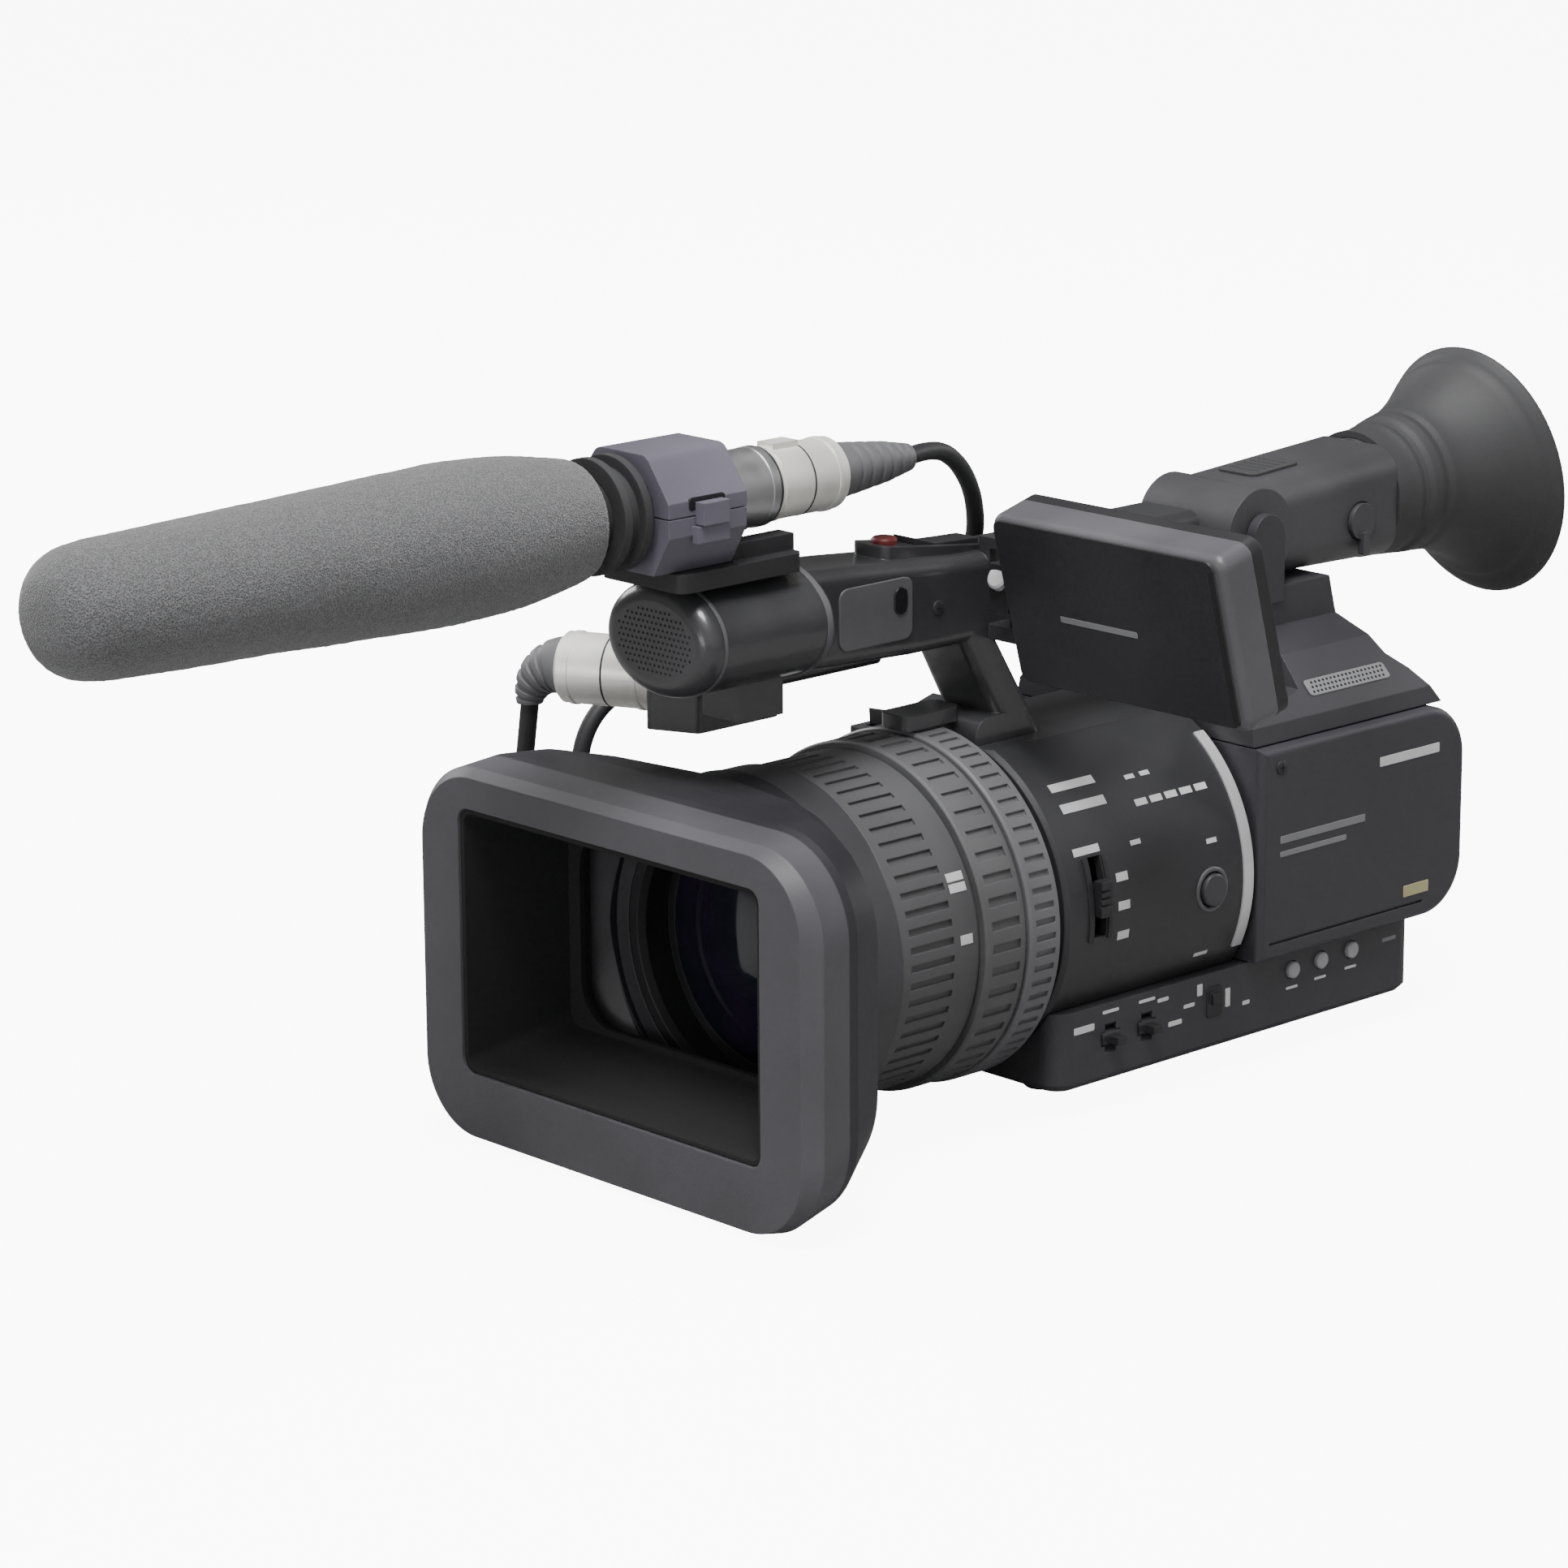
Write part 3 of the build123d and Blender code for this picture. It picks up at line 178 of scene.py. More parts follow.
# ---------------------------------------------------------------- finishes
class Paint:
    """A procedural material: varied colour and roughness, fine grain, softened and worn edges."""

    def __init__(self, name, metal=0.0):
        self.material = bpy.data.materials.new(name)
        self.material.use_nodes = True
        self.tree = self.material.node_tree
        self.shader = self.tree.nodes["Principled BSDF"]
        self.shader.inputs["Metallic"].default_value = metal
        self.coords = self.tree.nodes.new("ShaderNodeTexCoord").outputs["Object"]

    def node(self, kind, **settings):
        made = self.tree.nodes.new(kind)
        for key, value in settings.items():
            setattr(made, key, value)
        return made

    def link(self, output, socket):
        self.tree.links.new(output, socket)

    def noise(self, scale, detail=2.0):
        made = self.node("ShaderNodeTexNoise")
        made.inputs["Scale"].default_value = scale
        made.inputs["Detail"].default_value = detail
        self.link(self.coords, made.inputs["Vector"])
        return made.outputs["Fac"]

    def cells(self, scale):
        made = self.node("ShaderNodeTexVoronoi")
        made.inputs["Scale"].default_value = scale
        self.link(self.coords, made.inputs["Vector"])
        return made.outputs["Distance"]

    def weave(self, scale, direction):
        made = self.node("ShaderNodeTexWave", bands_direction=direction)
        made.inputs["Scale"].default_value = scale
        made.inputs["Distortion"].default_value = 0.4
        self.link(self.coords, made.inputs["Vector"])
        return made.outputs["Fac"]

    def ramp(self, factor, dark, light, low=0.3, high=0.7):
        made = self.node("ShaderNodeValToRGB")
        made.color_ramp.elements[0].position = low
        made.color_ramp.elements[1].position = high
        made.color_ramp.elements[0].color = (*dark, 1)
        made.color_ramp.elements[1].color = (*light, 1)
        self.link(factor, made.inputs["Fac"])
        return made.outputs["Color"]

    def spread(self, factor, low, high, start=0.3, end=0.7):
        made = self.node("ShaderNodeMapRange")
        for key, value in (("From Min", start), ("From Max", end), ("To Min", low), ("To Max", high)):
            made.inputs[key].default_value = value
        self.link(factor, made.inputs["Value"])
        return made.outputs["Result"]

    def maths(self, how, a, b):
        made = self.node("ShaderNodeMath", operation=how)
        for socket, value in zip(made.inputs, (a, b)):
            if isinstance(value, float):
                socket.default_value = value
            else:
                self.link(value, socket)
        return made.outputs["Value"]

    def blend(self, factor, first, second):
        made = self.node("ShaderNodeMixRGB")
        self.link(factor, made.inputs["Fac"])
        for socket, value in ((made.inputs["Color1"], first), (made.inputs["Color2"], second)):
            if isinstance(value, tuple):
                socket.default_value = (*value, 1)
            else:
                self.link(value, socket)
        return made.outputs["Color"]

    def along(self, axis, start, end):
        """0 before start and 1 after end along an axis of the object, in metres."""
        split = self.node("ShaderNodeSeparateXYZ")
        self.link(self.coords, split.inputs["Vector"])
        return self.spread(split.outputs[axis], 0.0, 1.0, start, end)

    def edge(self, radius):
        """The bevelled normal, and how far it turns away from the flat one."""
        bevel = self.node("ShaderNodeBevel", samples=4)
        bevel.inputs["Radius"].default_value = radius
        flat = self.node("ShaderNodeNewGeometry")
        dot = self.node("ShaderNodeVectorMath", operation="DOT_PRODUCT")
        self.link(bevel.outputs["Normal"], dot.inputs[0])
        self.link(flat.outputs["Normal"], dot.inputs[1])
        return bevel.outputs["Normal"], dot.outputs["Value"]

    def bump(self, height, strength, depth, normal=None):
        made = self.node("ShaderNodeBump")
        made.inputs["Strength"].default_value = strength
        made.inputs["Distance"].default_value = depth
        self.link(height, made.inputs["Height"])
        if normal is not None:
            self.link(normal, made.inputs["Normal"])
        self.link(made.outputs["Normal"], self.shader.inputs["Normal"])

    def finish(self, colour, rough):
        self.link(colour, self.shader.inputs["Base Color"])
        self.link(rough, self.shader.inputs["Roughness"])
        return self.material


def shade(colour, factor):
    return tuple(min(1.0, c * factor) for c in colour)


def moulded(name, colour, rough, grain=1500.0, bump=0.25, wear=0.5, edge=0.0005, vary=0.12,
            second=None, split=None, coat=0.0):
    """Moulded or painted casing. second is another colour that starts at split along Y."""
    paint = Paint(name)
    paint.shader.inputs["Coat Weight"].default_value = coat
    paint.shader.inputs["Coat Roughness"].default_value = 0.12
    broad = paint.noise(30.0, 3.0)
    fine = paint.noise(grain, 2.0)
    body = paint.ramp(broad, shade(colour, 1 - vary), shade(colour, 1 + vary))
    if second is not None:
        other = paint.ramp(broad, shade(second, 1 - vary), shade(second, 1 + vary))
        body = paint.blend(paint.along("Y", split, split + 0.0004), body, other)
    normal, facing = paint.edge(edge)
    on_edges = paint.spread(facing, wear, 0.0, 0.80, 0.985)
    rubbed = paint.maths("MULTIPLY", on_edges, paint.spread(paint.noise(160.0), 0.0, 1.0))
    worn = tuple(min(1.0, c * 1.8 + 0.03) for c in colour)
    body = paint.blend(rubbed, body, worn)
    paint.bump(fine, bump, 0.00012, normal)
    return paint.finish(body, paint.spread(broad, rough - 0.06, rough + 0.08))


def woven(name, colour):
    """Webbing: two sets of threads that cross."""
    paint = Paint(name)
    warp = paint.weave(420.0, "Y")
    weft = paint.weave(420.0, "Z")
    threads = paint.maths("MULTIPLY", warp, weft)
    body = paint.ramp(threads, shade(colour, 0.6), shade(colour, 1.5))
    body = paint.blend(paint.spread(paint.noise(60.0), 0.0, 0.4), body, shade(colour, 1.9))
    paint.bump(threads, 0.8, 0.0003)
    paint.shader.inputs["Sheen Weight"].default_value = 0.15
    return paint.finish(body, paint.spread(threads, 0.75, 0.95))


def porous(name, colour):
    """Foam: dark pores between lighter specks."""
    paint = Paint(name)
    pores = paint.cells(2300.0)
    specks = paint.noise(4200.0, 3.0)
    mixed = paint.maths("MULTIPLY", pores, specks)
    body = paint.ramp(mixed, shade(colour, 0.35), shade(colour, 1.35), 0.05, 0.32)
    paint.bump(pores, 0.7, 0.0004)
    paint.shader.inputs["Sheen Weight"].default_value = 0.3
    return paint.finish(body, paint.spread(specks, 0.88, 1.0))


def turned(name, colour, rough, metal=1.0):
    """Metal with fine lathe lines and faint smears."""
    paint = Paint(name, metal)
    lines = paint.noise(2500.0, 2.0)
    smear = paint.noise(70.0, 3.0)
    normal, _ = paint.edge(0.0003)
    paint.bump(lines, 0.12, 0.00005, normal)
    body = paint.ramp(smear, shade(colour, 0.88), shade(colour, 1.05))
    return paint.finish(body, paint.spread(smear, rough - 0.05, rough + 0.1))


def glassy(name, colour, tint, rough=0.06):
    """Coated glass or a screen: deep, with smears in its gloss."""
    paint = Paint(name)
    smear = paint.noise(45.0, 4.0)
    paint.shader.inputs["Coat Weight"].default_value = 0.6
    paint.shader.inputs["Coat Roughness"].default_value = 0.05
    paint.bump(paint.noise(25.0, 1.0), 0.03, 0.0003)
    body = paint.ramp(smear, colour, tint, 0.35, 0.75)
    return paint.finish(body, paint.spread(smear, rough, rough + 0.1))


def printed_board(name):
    """Green lacquer over raised tracks."""
    paint = Paint(name)
    tracks = paint.cells(420.0)
    paint.bump(tracks, 0.4, 0.0002)
    body = paint.ramp(tracks, (0.01, 0.09, 0.04), (0.05, 0.22, 0.1), 0.2, 0.5)
    return paint.finish(body, paint.spread(tracks, 0.35, 0.6))


finishes = {
    # The hood's rear, behind split, takes the darker second colour: painted shade on the taper behind its
    # front frame.
    "hood": moulded("hood_paint_and_painted_shade", (0.070, 0.068, 0.077), 0.5, second=(0.020, 0.019, 0.024), split=-0.1872),
    # Near-black: the liner's own colour, and also painted shade where dots, a strip and crosses stand for
    # holes, a groove and screw recesses.
    "flock_and_painted_shade": moulded("flock_and_painted_shade", (0.010, 0.010, 0.011), 0.9, bump=0.8, grain=3000.0, wear=0.0),
    "barrel": moulded("barrel_paint", (0.045, 0.043, 0.048), 0.42, bump=0.15),
    "zoom": moulded("zoom_rubber", (0.095, 0.095, 0.098), 0.52, bump=0.4, wear=0.25),
    "iris": moulded("iris_paint", (0.13, 0.128, 0.136), 0.4, bump=0.15),
    "ring": moulded("ring_rubber", (0.075, 0.075, 0.078), 0.55, bump=0.4, wear=0.25),
    "body": moulded("body_paint", (0.036, 0.034, 0.041), 0.46),
    "top": moulded("top_paint", (0.036, 0.034, 0.040), 0.45),
    "housing": moulded("housing_paint", (0.027, 0.027, 0.030), 0.42),
    "base": moulded("base_paint", (0.036, 0.035, 0.040), 0.5),
    "handle": moulded("handle_paint", (0.034, 0.034, 0.037), 0.34, coat=0.5),
    "panel": moulded("panel_paint", (0.095, 0.093, 0.100), 0.42),
    "clamp": moulded("clamp_paint", (0.125, 0.118, 0.150), 0.42),
    "lcd": moulded("lcd_paint", (0.026, 0.026, 0.029), 0.42),
    "lcd_shell": moulded("lcd_shell_paint", (0.095, 0.093, 0.102), 0.42),
    "evf": moulded("evf_paint", (0.055, 0.054, 0.059), 0.40),
    "black": moulded("black_plastic", (0.016, 0.016, 0.018), 0.5),
    "grip": moulded("grip_skin", (0.022, 0.022, 0.024), 0.6, grain=700.0, bump=0.9),
    "gloss": moulded("gloss_black", (0.012, 0.012, 0.014), 0.2, bump=0.05),
    "tube": moulded("microphone_paint", (0.035, 0.035, 0.037), 0.35, bump=0.2),
    "rubber": moulded("soft_rubber", (0.035, 0.035, 0.037), 0.7, bump=0.5, wear=0.1),
    "cup": moulded("eyecup_rubber", (0.040, 0.040, 0.042), 0.6, bump=0.4, wear=0.15),
    "cable": moulded("cable_rubber", (0.022, 0.022, 0.024), 0.55, bump=0.3, wear=0.1),
    "boot": moulded("boot_rubber", (0.13, 0.13, 0.135), 0.55, bump=0.3, wear=0.2),
    "grey": moulded("button_grey", (0.36, 0.355, 0.38), 0.45, wear=0.2),
    "red": moulded("button_red", (0.12, 0.015, 0.015), 0.4, wear=0.2),
    "mark": moulded("printed_mark", (0.62, 0.62, 0.62), 0.6, wear=0.0, edge=0.0001),
    "faint": moulded("faint_mark", (0.20, 0.20, 0.21), 0.6, wear=0.0, edge=0.0001),
    "sticker": moulded("sticker", (0.45, 0.42, 0.22), 0.5, wear=0.0, edge=0.0001),
    "silver": turned("silver_trim", (0.70, 0.70, 0.71), 0.38, 0.4),
    "steel": turned("steel", (0.52, 0.52, 0.53), 0.35),
    # Near-white and only half metal: partly the plugs' real plated finish, partly a painted highlight that
    # keeps them white under any light.
    "nickel": turned("nickel", (0.95, 0.94, 0.88), 0.36, 0.45),
    "brass": turned("contact_brass", (0.72, 0.55, 0.25), 0.3),
    "lens": glassy("coated_glass", (0.008, 0.010, 0.018), (0.020, 0.012, 0.030)),
    "screen": glassy("screen_glass", (0.008, 0.009, 0.012), (0.014, 0.015, 0.020), 0.1),
    "sensor": glassy("sensor_face", (0.10, 0.13, 0.12), (0.16, 0.12, 0.18), 0.15),
    "board": printed_board("board"),
    "fabric": woven("strap_fabric", (0.030, 0.030, 0.032)),
    "thread": moulded("stitch_thread", (0.10, 0.10, 0.105), 0.8, wear=0.0, edge=0.0001),
    "foam": porous("windscreen_foam", (0.115, 0.115, 0.118)),
}

node_finish = {
    "hood_shell": "hood", "hood_liner": "flock_and_painted_shade", "lens_barrel": "barrel", "iris_ring": "iris",
    "focus_ring": "ring", "zoom_ring": "zoom", "front_lens": "lens", "inner_lens": "lens",
    "evf_lens": "lens", "lens_bezel": "black", "sensor_block": "sensor", "control_housing": "housing",
    "push_auto_button": "barrel", "user_button_1": "grey", "user_button_2": "grey", "user_button_3": "grey",
    "nd_switch": "black", "gain_switch": "black", "white_balance_switch": "black", "side_cover": "body",
    "right_cover": "body", "top_cover": "top", "base_tray": "base", "card_door": "body",
    "tripod_plate": "steel", "case_screws": "steel", "feet": "rubber", "main_board": "board",
    "rear_panel": "black", "battery": "black", "battery_release": "grey", "grip_housing": "grip",
    "grip_zoom_rocker": "black", "grip_rec_button": "red", "power_lever": "gloss", "handle": "handle",
    "handle_zoom_rocker": "black", "handle_rec_button": "red", "input_block": "handle",
    "input_jacks": "nickel", "jack_release": "nickel", "input_plug": "nickel", "mic_plug": "nickel",
    "shoe_mount": "black", "mic_clamp_base": "clamp", "mic_clamp_lid": "clamp",
    "mic_clamp_rubber": "rubber", "mic_tube": "tube", "lcd_hinge": "black", "lcd_back": "lcd_shell",
    "lcd_bezel": "black", "lcd_screen": "screen", "evf_body": "evf", "diopter_lever": "evf",
    "hand_strap": "fabric", "windscreen": "foam", "eyecup": "cup", "mic_cable": "cable",
    "input_plug_boot": "boot", "mic_plug_boot": "boot",
}


def paint_nodes():
    for name, node in nodes.items():
        node.data.materials.clear()
        node.data.materials.append(finishes[node_finish[name]])


# ---------------------------------------------------------------- mesh makers: a mesh is (points, faces)
def join(meshes):
    """Several meshes as one."""
    points, faces = [], []
    for some_points, some_faces in meshes:
        start = len(points)
        points += some_points
        faces += [[start + i for i in face] for face in some_faces]
    return points, faces


def skin(rings, closed_ends=(True, True), looped=False):
    """Joins rings of equally many points into a surface."""
    count = len(rings[0])
    points = [p for ring in rings for p in ring]
    faces = []
    last = len(rings) if looped else len(rings) - 1
    for k in range(last):
        a, b = k * count, (k + 1) % len(rings) * count
        for i in range(count):
            j = (i + 1) % count
            faces.append([a + i, a + j, b + j, b + i])
    if not looped and closed_ends[0]:
        faces.append(list(range(count))[::-1])
    if not looped and closed_ends[1]:
        faces.append([(len(rings) - 1) * count + i for i in range(count)])
    return points, faces


def frame_of(direction):
    """Three unit vectors at right angles, the last one along the direction."""
    direction = Vector(direction).normalized()
    helper = Vector((0, 0, 1)) if abs(direction.z) < 0.9 else Vector((1, 0, 0))
    across = helper.cross(direction).normalized()
    return across, direction.cross(across), direction


def circle(centre, direction, radius, count=48):
    across, up, _ = frame_of(direction)
    centre = Vector(centre)
    turns = [2 * math.pi * k / count for k in range(count)]
    return [tuple(centre + across * math.cos(t) * radius + up * math.sin(t) * radius) for t in turns]


def lathe(profile, origin, direction, count=48, looped=False):
    """profile is (radius, distance along the direction)."""
    _, _, along = frame_of(direction)
    origin = Vector(origin)
    rings = [circle(origin + along * h, direction, max(r, 0.01), count) for r, h in profile]
    return skin(rings, looped=looped)


def plate(centre, across, up, width, height, thick, corner=0.4, sink=0.3):
    """A thin plate with round corners and a small edge, lying on a surface."""
    across, up = Vector(across).normalized(), Vector(up).normalized()
    out = across.cross(up)
    centre = Vector(centre)
    corner = min(corner, width / 2 - 0.01, height / 2 - 0.01)

    def outline(inset, lift):
        ring = []
        for quarter, (sx, sy) in enumerate(((1, 1), (-1, 1), (-1, -1), (1, -1))):
            for k in range(5):
                t = math.radians(90 * quarter + 22.5 * k)
                x = sx * (width / 2 - corner) + math.cos(t) * max(corner - inset, 0.005)
                y = sy * (height / 2 - corner) + math.sin(t) * max(corner - inset, 0.005)
                ring.append(tuple(centre + across * x + up * y + out * lift))
        return ring

    edge = min(0.15, thick / 2)
    return skin([outline(0, -sink), outline(0, thick - edge), outline(edge, thick)])


def patch(radius, y_span, angle_span, thick, sink=0.2):
    """A piece of band round the lens axis, from angle to angle above +X."""
    steps = max(2, int(abs(angle_span[1] - angle_span[0]) / 2) + 1)
    rings = []
    for k in range(steps + 1):
        t = math.radians(angle_span[0] + (angle_span[1] - angle_span[0]) * k / steps)
        ring = []
        for r, y in ((radius - sink, y_span[0]), (radius + thick, y_span[0]),
                     (radius + thick, y_span[1]), (radius - sink, y_span[1])):
            ring.append((r * math.cos(t), y, AXIS_Z + r * math.sin(t)))
        rings.append(ring)
    return skin(rings)


def smooth_line(points, per_span=8):
    """Points on a smooth curve through the given ones."""
    points = [Vector(p) for p in points]
    ends = [2 * points[0] - points[1], *points, 2 * points[-1] - points[-2]]
    line = []
    for a, b, c, d in zip(ends, ends[1:], ends[2:], ends[3:]):
        for k in range(per_span):
            t = k / per_span
            line.append(0.5 * (2 * b + (c - a) * t + (2 * a - 5 * b + 4 * c - d) * t ** 2
                               + (3 * b - a - 3 * c + d) * t ** 3))
    line.append(points[-1])
    return line


def piece(name, mesh, finish, body="camera_body", sharp=35.0, replaced=()):
    points, faces = mesh
    data = bpy.data.meshes.new(name)
    data.from_pydata([Vector(p) * MM for p in points], [], faces)
    data.update()
    data.shade_smooth()
    data.set_sharp_from_angle(angle=math.radians(sharp))
    data.materials.append(finishes[finish])
    made = bpy.data.objects.new(name, data)
    scene.collection.objects.link(made)
    if replaced:
        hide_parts(*replaced)
    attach(made, body)
    return made


# ---------------------------------------------------------------- microphone cable and its boots
def make_cable():
    data = bpy.data.curves.new("microphone_cable", "CURVE")
    data.dimensions = "3D"
    line = data.splines.new("NURBS")
    line.points.add(len(CABLE_POINTS) - 1)
    for point, place in zip(line.points, CABLE_POINTS):
        point.co = (*(Vector(place) * MM), 1)
    line.order_u = 3
    line.use_endpoint_u = True
    line.resolution_u = 12
    data.bevel_depth = CABLE_D / 2 * MM
    data.bevel_resolution = 6
    data.use_fill_caps = True
    data.materials.append(finishes["cable"])
    cable = bpy.data.objects.new("microphone_cable", data)
    scene.collection.objects.link(cable)
    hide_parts("mic_cable")
    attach(cable, "camera_body")
    return cable


def ribbed_rings(centres, radii, ribs, depth):
    """Rings of a tapered boot with grooves between its ribs."""
    steps = len(centres) - 1
    rings = []
    for k, (centre, radius) in enumerate(zip(centres, radii)):
        before, after = centres[max(k - 1, 0)], centres[min(k + 1, steps)]
        phase = k / steps
        groove = 0.15 < phase < 0.93 and math.cos(2 * math.pi * ribs * phase) < -0.2
        rings.append(circle(centre, after - before, radius - (depth if groove else 0), 36))
    return rings


def radius_at(stations, y):
    """The radius at y, on straight lines between stations of (radius, y)."""
    for (r0, y0), (r1, y1) in zip(stations, stations[1:]):
        if y <= y1 + 1e-6:
            return r0 + (r1 - r0) * (y - y0) / (y1 - y0)
    return stations[-1][0]


def mic_boot():
    """Tapers from the plug to the cable."""
    steps = 72
    length = 29.4
    stations = [(7.9, -119.4), (6.9, -110.0), (5.6, -99.0), (3.8, -90.0)]
    centres = [Vector((0, -119.4 + length * k / steps, MIC_Z)) for k in range(steps + 1)]
    radii = [radius_at(stations, c.y) for c in centres]
    return piece("microphone_plug_boot", skin(ribbed_rings(centres, radii, 7, 0.55)), "boot",
                 replaced=("mic_plug_boot",))


def input_boot():
    """Droops through a quarter turn from the plug to the hanging cable."""
    start = PLUG_MOUTH + PLUG_OUT * 28.5
    droop = 11.0
    thick_end, thin_end = 8.2, 3.6
    steps = 64
    centres, radii = [], []
    for k in range(steps + 1):
        t = math.pi / 2 * k / steps
        fall = Vector((0, 0, droop * (1 - math.cos(t))))
        centres.append(start + PLUG_OUT * droop * math.sin(t) - fall)
        radii.append(thick_end + (thin_end - thick_end) * (k / steps) ** 1.2)
    return piece("input_plug_boot_ribbed", skin(ribbed_rings(centres, radii, 6, 0.5)), "boot",
                 replaced=("input_plug_boot",))


cable = make_cable()
boots = [mic_boot(), input_boot()]
paint_nodes()


# ---------------------------------------------------------------- soft pieces
def make_windscreen():
    """Foam sleeve with a domed front, pitted all over."""
    dome = [(0, -373.3), (5.0, -373.0), (9.6, -371.8), (13.2, -369.2), (15.5, -365.2), (16.6, -359.5)]
    side = [(17.2, -350), (18.6, -303), (20.2, -255), (19.2, -231), (16.2, -212.5)]
    rim = [(14.6, -209.2), (12.6, -208.5), (11.0, -208.9), (10.7, -214)]
    outline = dome + side + rim
    line = smooth_line(outline, 24)
    even = [line[0]]
    for p in line:
        if (p - even[-1]).length >= 0.8:
            even.append(p)
    rings = [circle((0, p.y, MIC_Z), (0, 1, 0), max(p.x, 0.05), 140) for p in even]
    points, faces = skin(rings, closed_ends=(True, False))
    pitted = []
    for p in points:
        place = Vector(p)
        out = Vector((place.x, 0, place.z - MIC_Z))
        pits = 0.14 * (noise.noise(place * 0.9) + noise.noise(place * 1.9))
        swell = 0.35 * noise.noise(place * 0.06)
        if out.length > 8:
            place += out.normalized() * (pits + swell)
        pitted.append(tuple(place))
    foam = piece("foam_windscreen", (pitted, faces), "foam", sharp=180, replaced=("windscreen",))


def cup_ring(y, z, radius, lean, inset=0.0, count=72):
    """A ring that leans forward at its top and is slimmer on the operator's right as it grows."""
    slim = 0.11 * radius * max(radius - 16, 0) / 22
    lean = math.radians(lean)
    ring = []
    for k in range(count):
        t = 2 * math.pi * k / count
        across = (radius - slim - 0.05 - inset) * math.cos(t)
        up = (radius - inset) * math.sin(t)
        ring.append((slim + across, y - up * math.sin(lean), z + up * math.cos(lean)))
    return ring


def make_eyecup():
    """A deep rubber cup: sleeve, two folds at its neck, a flared wall and a round lip."""
    wall = 2.4
    lip_bulge = 1.3
    # each section is y, z, radius, and the lean in degrees
    sections = [(99.6, EVF_Z, 19.0, 0), (108, 145.5, 20.5, 0), (120, 146.3, 22.5, 6), (132, 146.6, 28.5, 9),
                (142.6, 145.5, 38.2, 10)]
    stations = [tuple(station) for station in smooth_line(sections, 10)]
    rings = [cup_ring(92.3, EVF_Z, 18.7, 0), cup_ring(98.0, EVF_Z, 18.8, 0)]
    for y, z, radius, lean in stations:
        fold = 0.5 if 102 < y < 118 and math.sin((y - 102) * math.pi / 4) > 0.3 else 0.0
        if 137.6 < y < 139.0:
            fold = 0.7
        rings.append(cup_ring(y, z, radius, lean, fold))
    y, z, radius, lean = stations[-1]
    for k in range(1, 8):
        t = math.pi * k / 8
        rings.append(cup_ring(y + lip_bulge * math.sin(t), z, radius - wall / 2 * (1 - math.cos(t)), lean))
    for y, z, radius, lean in stations[-2::-1]:
        rings.append(cup_ring(y, z, radius - wall, lean))
    rings += [cup_ring(100.4, EVF_Z, 16.6, 0), cup_ring(92.3, EVF_Z, 16.6, 0)]
    piece("rubber_eyecup", skin(rings, looped=True), "cup", "viewfinder", 60, ("eyecup",))


def strap_line():
    """Places along the hand strap: (its middle, the way outward, half its thickness)."""
    outer = [(-72, -37, 0), (-87, -22, 0), (-94.5, 8, 0), (-94, 42, 0), (-85.5, 69, 0), (-71, 80, 0)]
    inner = [(-72, -31, 0), (-84, -18, 0), (-90.5, 9, 0), (-90, 41, 0), (-81.8, 66, 0), (-71, 75, 0)]
    line = []
    for far, near in zip(smooth_line(outer, 14), smooth_line(inner, 14)):
        line.append(((far + near) / 2, (far - near).normalized(), min((far - near).length / 2 * 0.92, 2.5)))
    return line


def make_strap():
    """Padded webbing: full between two sewn lines, flat along its bound edges."""
    rows = [-15, -14.4, -12.8, -12.0, -11.2, -8, -4, 0, 4, 8, 11.2, 12.0, 12.8, 14.4, 15]
    swell = [0.35, 0.75, 0.8, 0.35, 0.8, 1.0, 1.06, 1.08, 1.06, 1.0, 0.8, 0.35, 0.8, 0.75, 0.35]
    rings = []
    line = strap_line()
    for k, (centre, out, half) in enumerate(line):
        pucker = 0.12 * math.sin(k * 1.7)
        front, back = [], []
        for row, full in zip(rows, swell):
            height = Vector((0, 0, STRAP_Z + row))
            front.append(centre + out * (half * full + (pucker if full > 0.9 else 0)) + height)
            back.append(centre - out * half * full + height)
        rings.append([tuple(p) for p in front + back[::-1]])
    strap = piece("padded_hand_strap", skin(rings), "fabric", sharp=60,
                  replaced=("hand_strap",))
    stitches = []
    for (here, out, half), (there, _, _) in list(zip(line, line[1:]))[1:-1]:
        for z in (STRAP_Z - 12, STRAP_Z + 12):
            for share in (0.0, 0.5):
                start = here.lerp(there, share) + out * half * 0.5 + Vector((0, 0, z))
                along = (there - here) * 0.32
                thread = [(0.1, 0), (0.32, 0.3), (0.32, along.length - 0.3), (0.1, along.length)]
                stitches.append(lathe(thread, start, along, 8))
    piece("strap_stitches", join(stitches), "thread")


make_windscreen()
make_eyecup()
make_strap()


# ---------------------------------------------------------------- marks and trim
def on_left(x, y, z, width, height, thick=0.12, corner=0.4, sink=0.3):
    """A plate on a wall at x that faces +X."""
    return plate((x, y, z), (0, 1, 0), (0, 0, 1), width, height, thick, corner, sink)


def on_base(y, z, width, height):
    return on_left(BASE_X, y, z, width, height)


def on_side(y, z, width, height):
    return on_left(SIDE_X, y, z, width, height)


def band(y_span, angle, high, radius=HOUSING_R, thick=0.12):
    """A mark on the round housing or a ring, as high as given and centred on the angle."""
    half = math.degrees(high / radius) / 2
    return patch(radius, y_span, (angle - half, angle + half), thick)


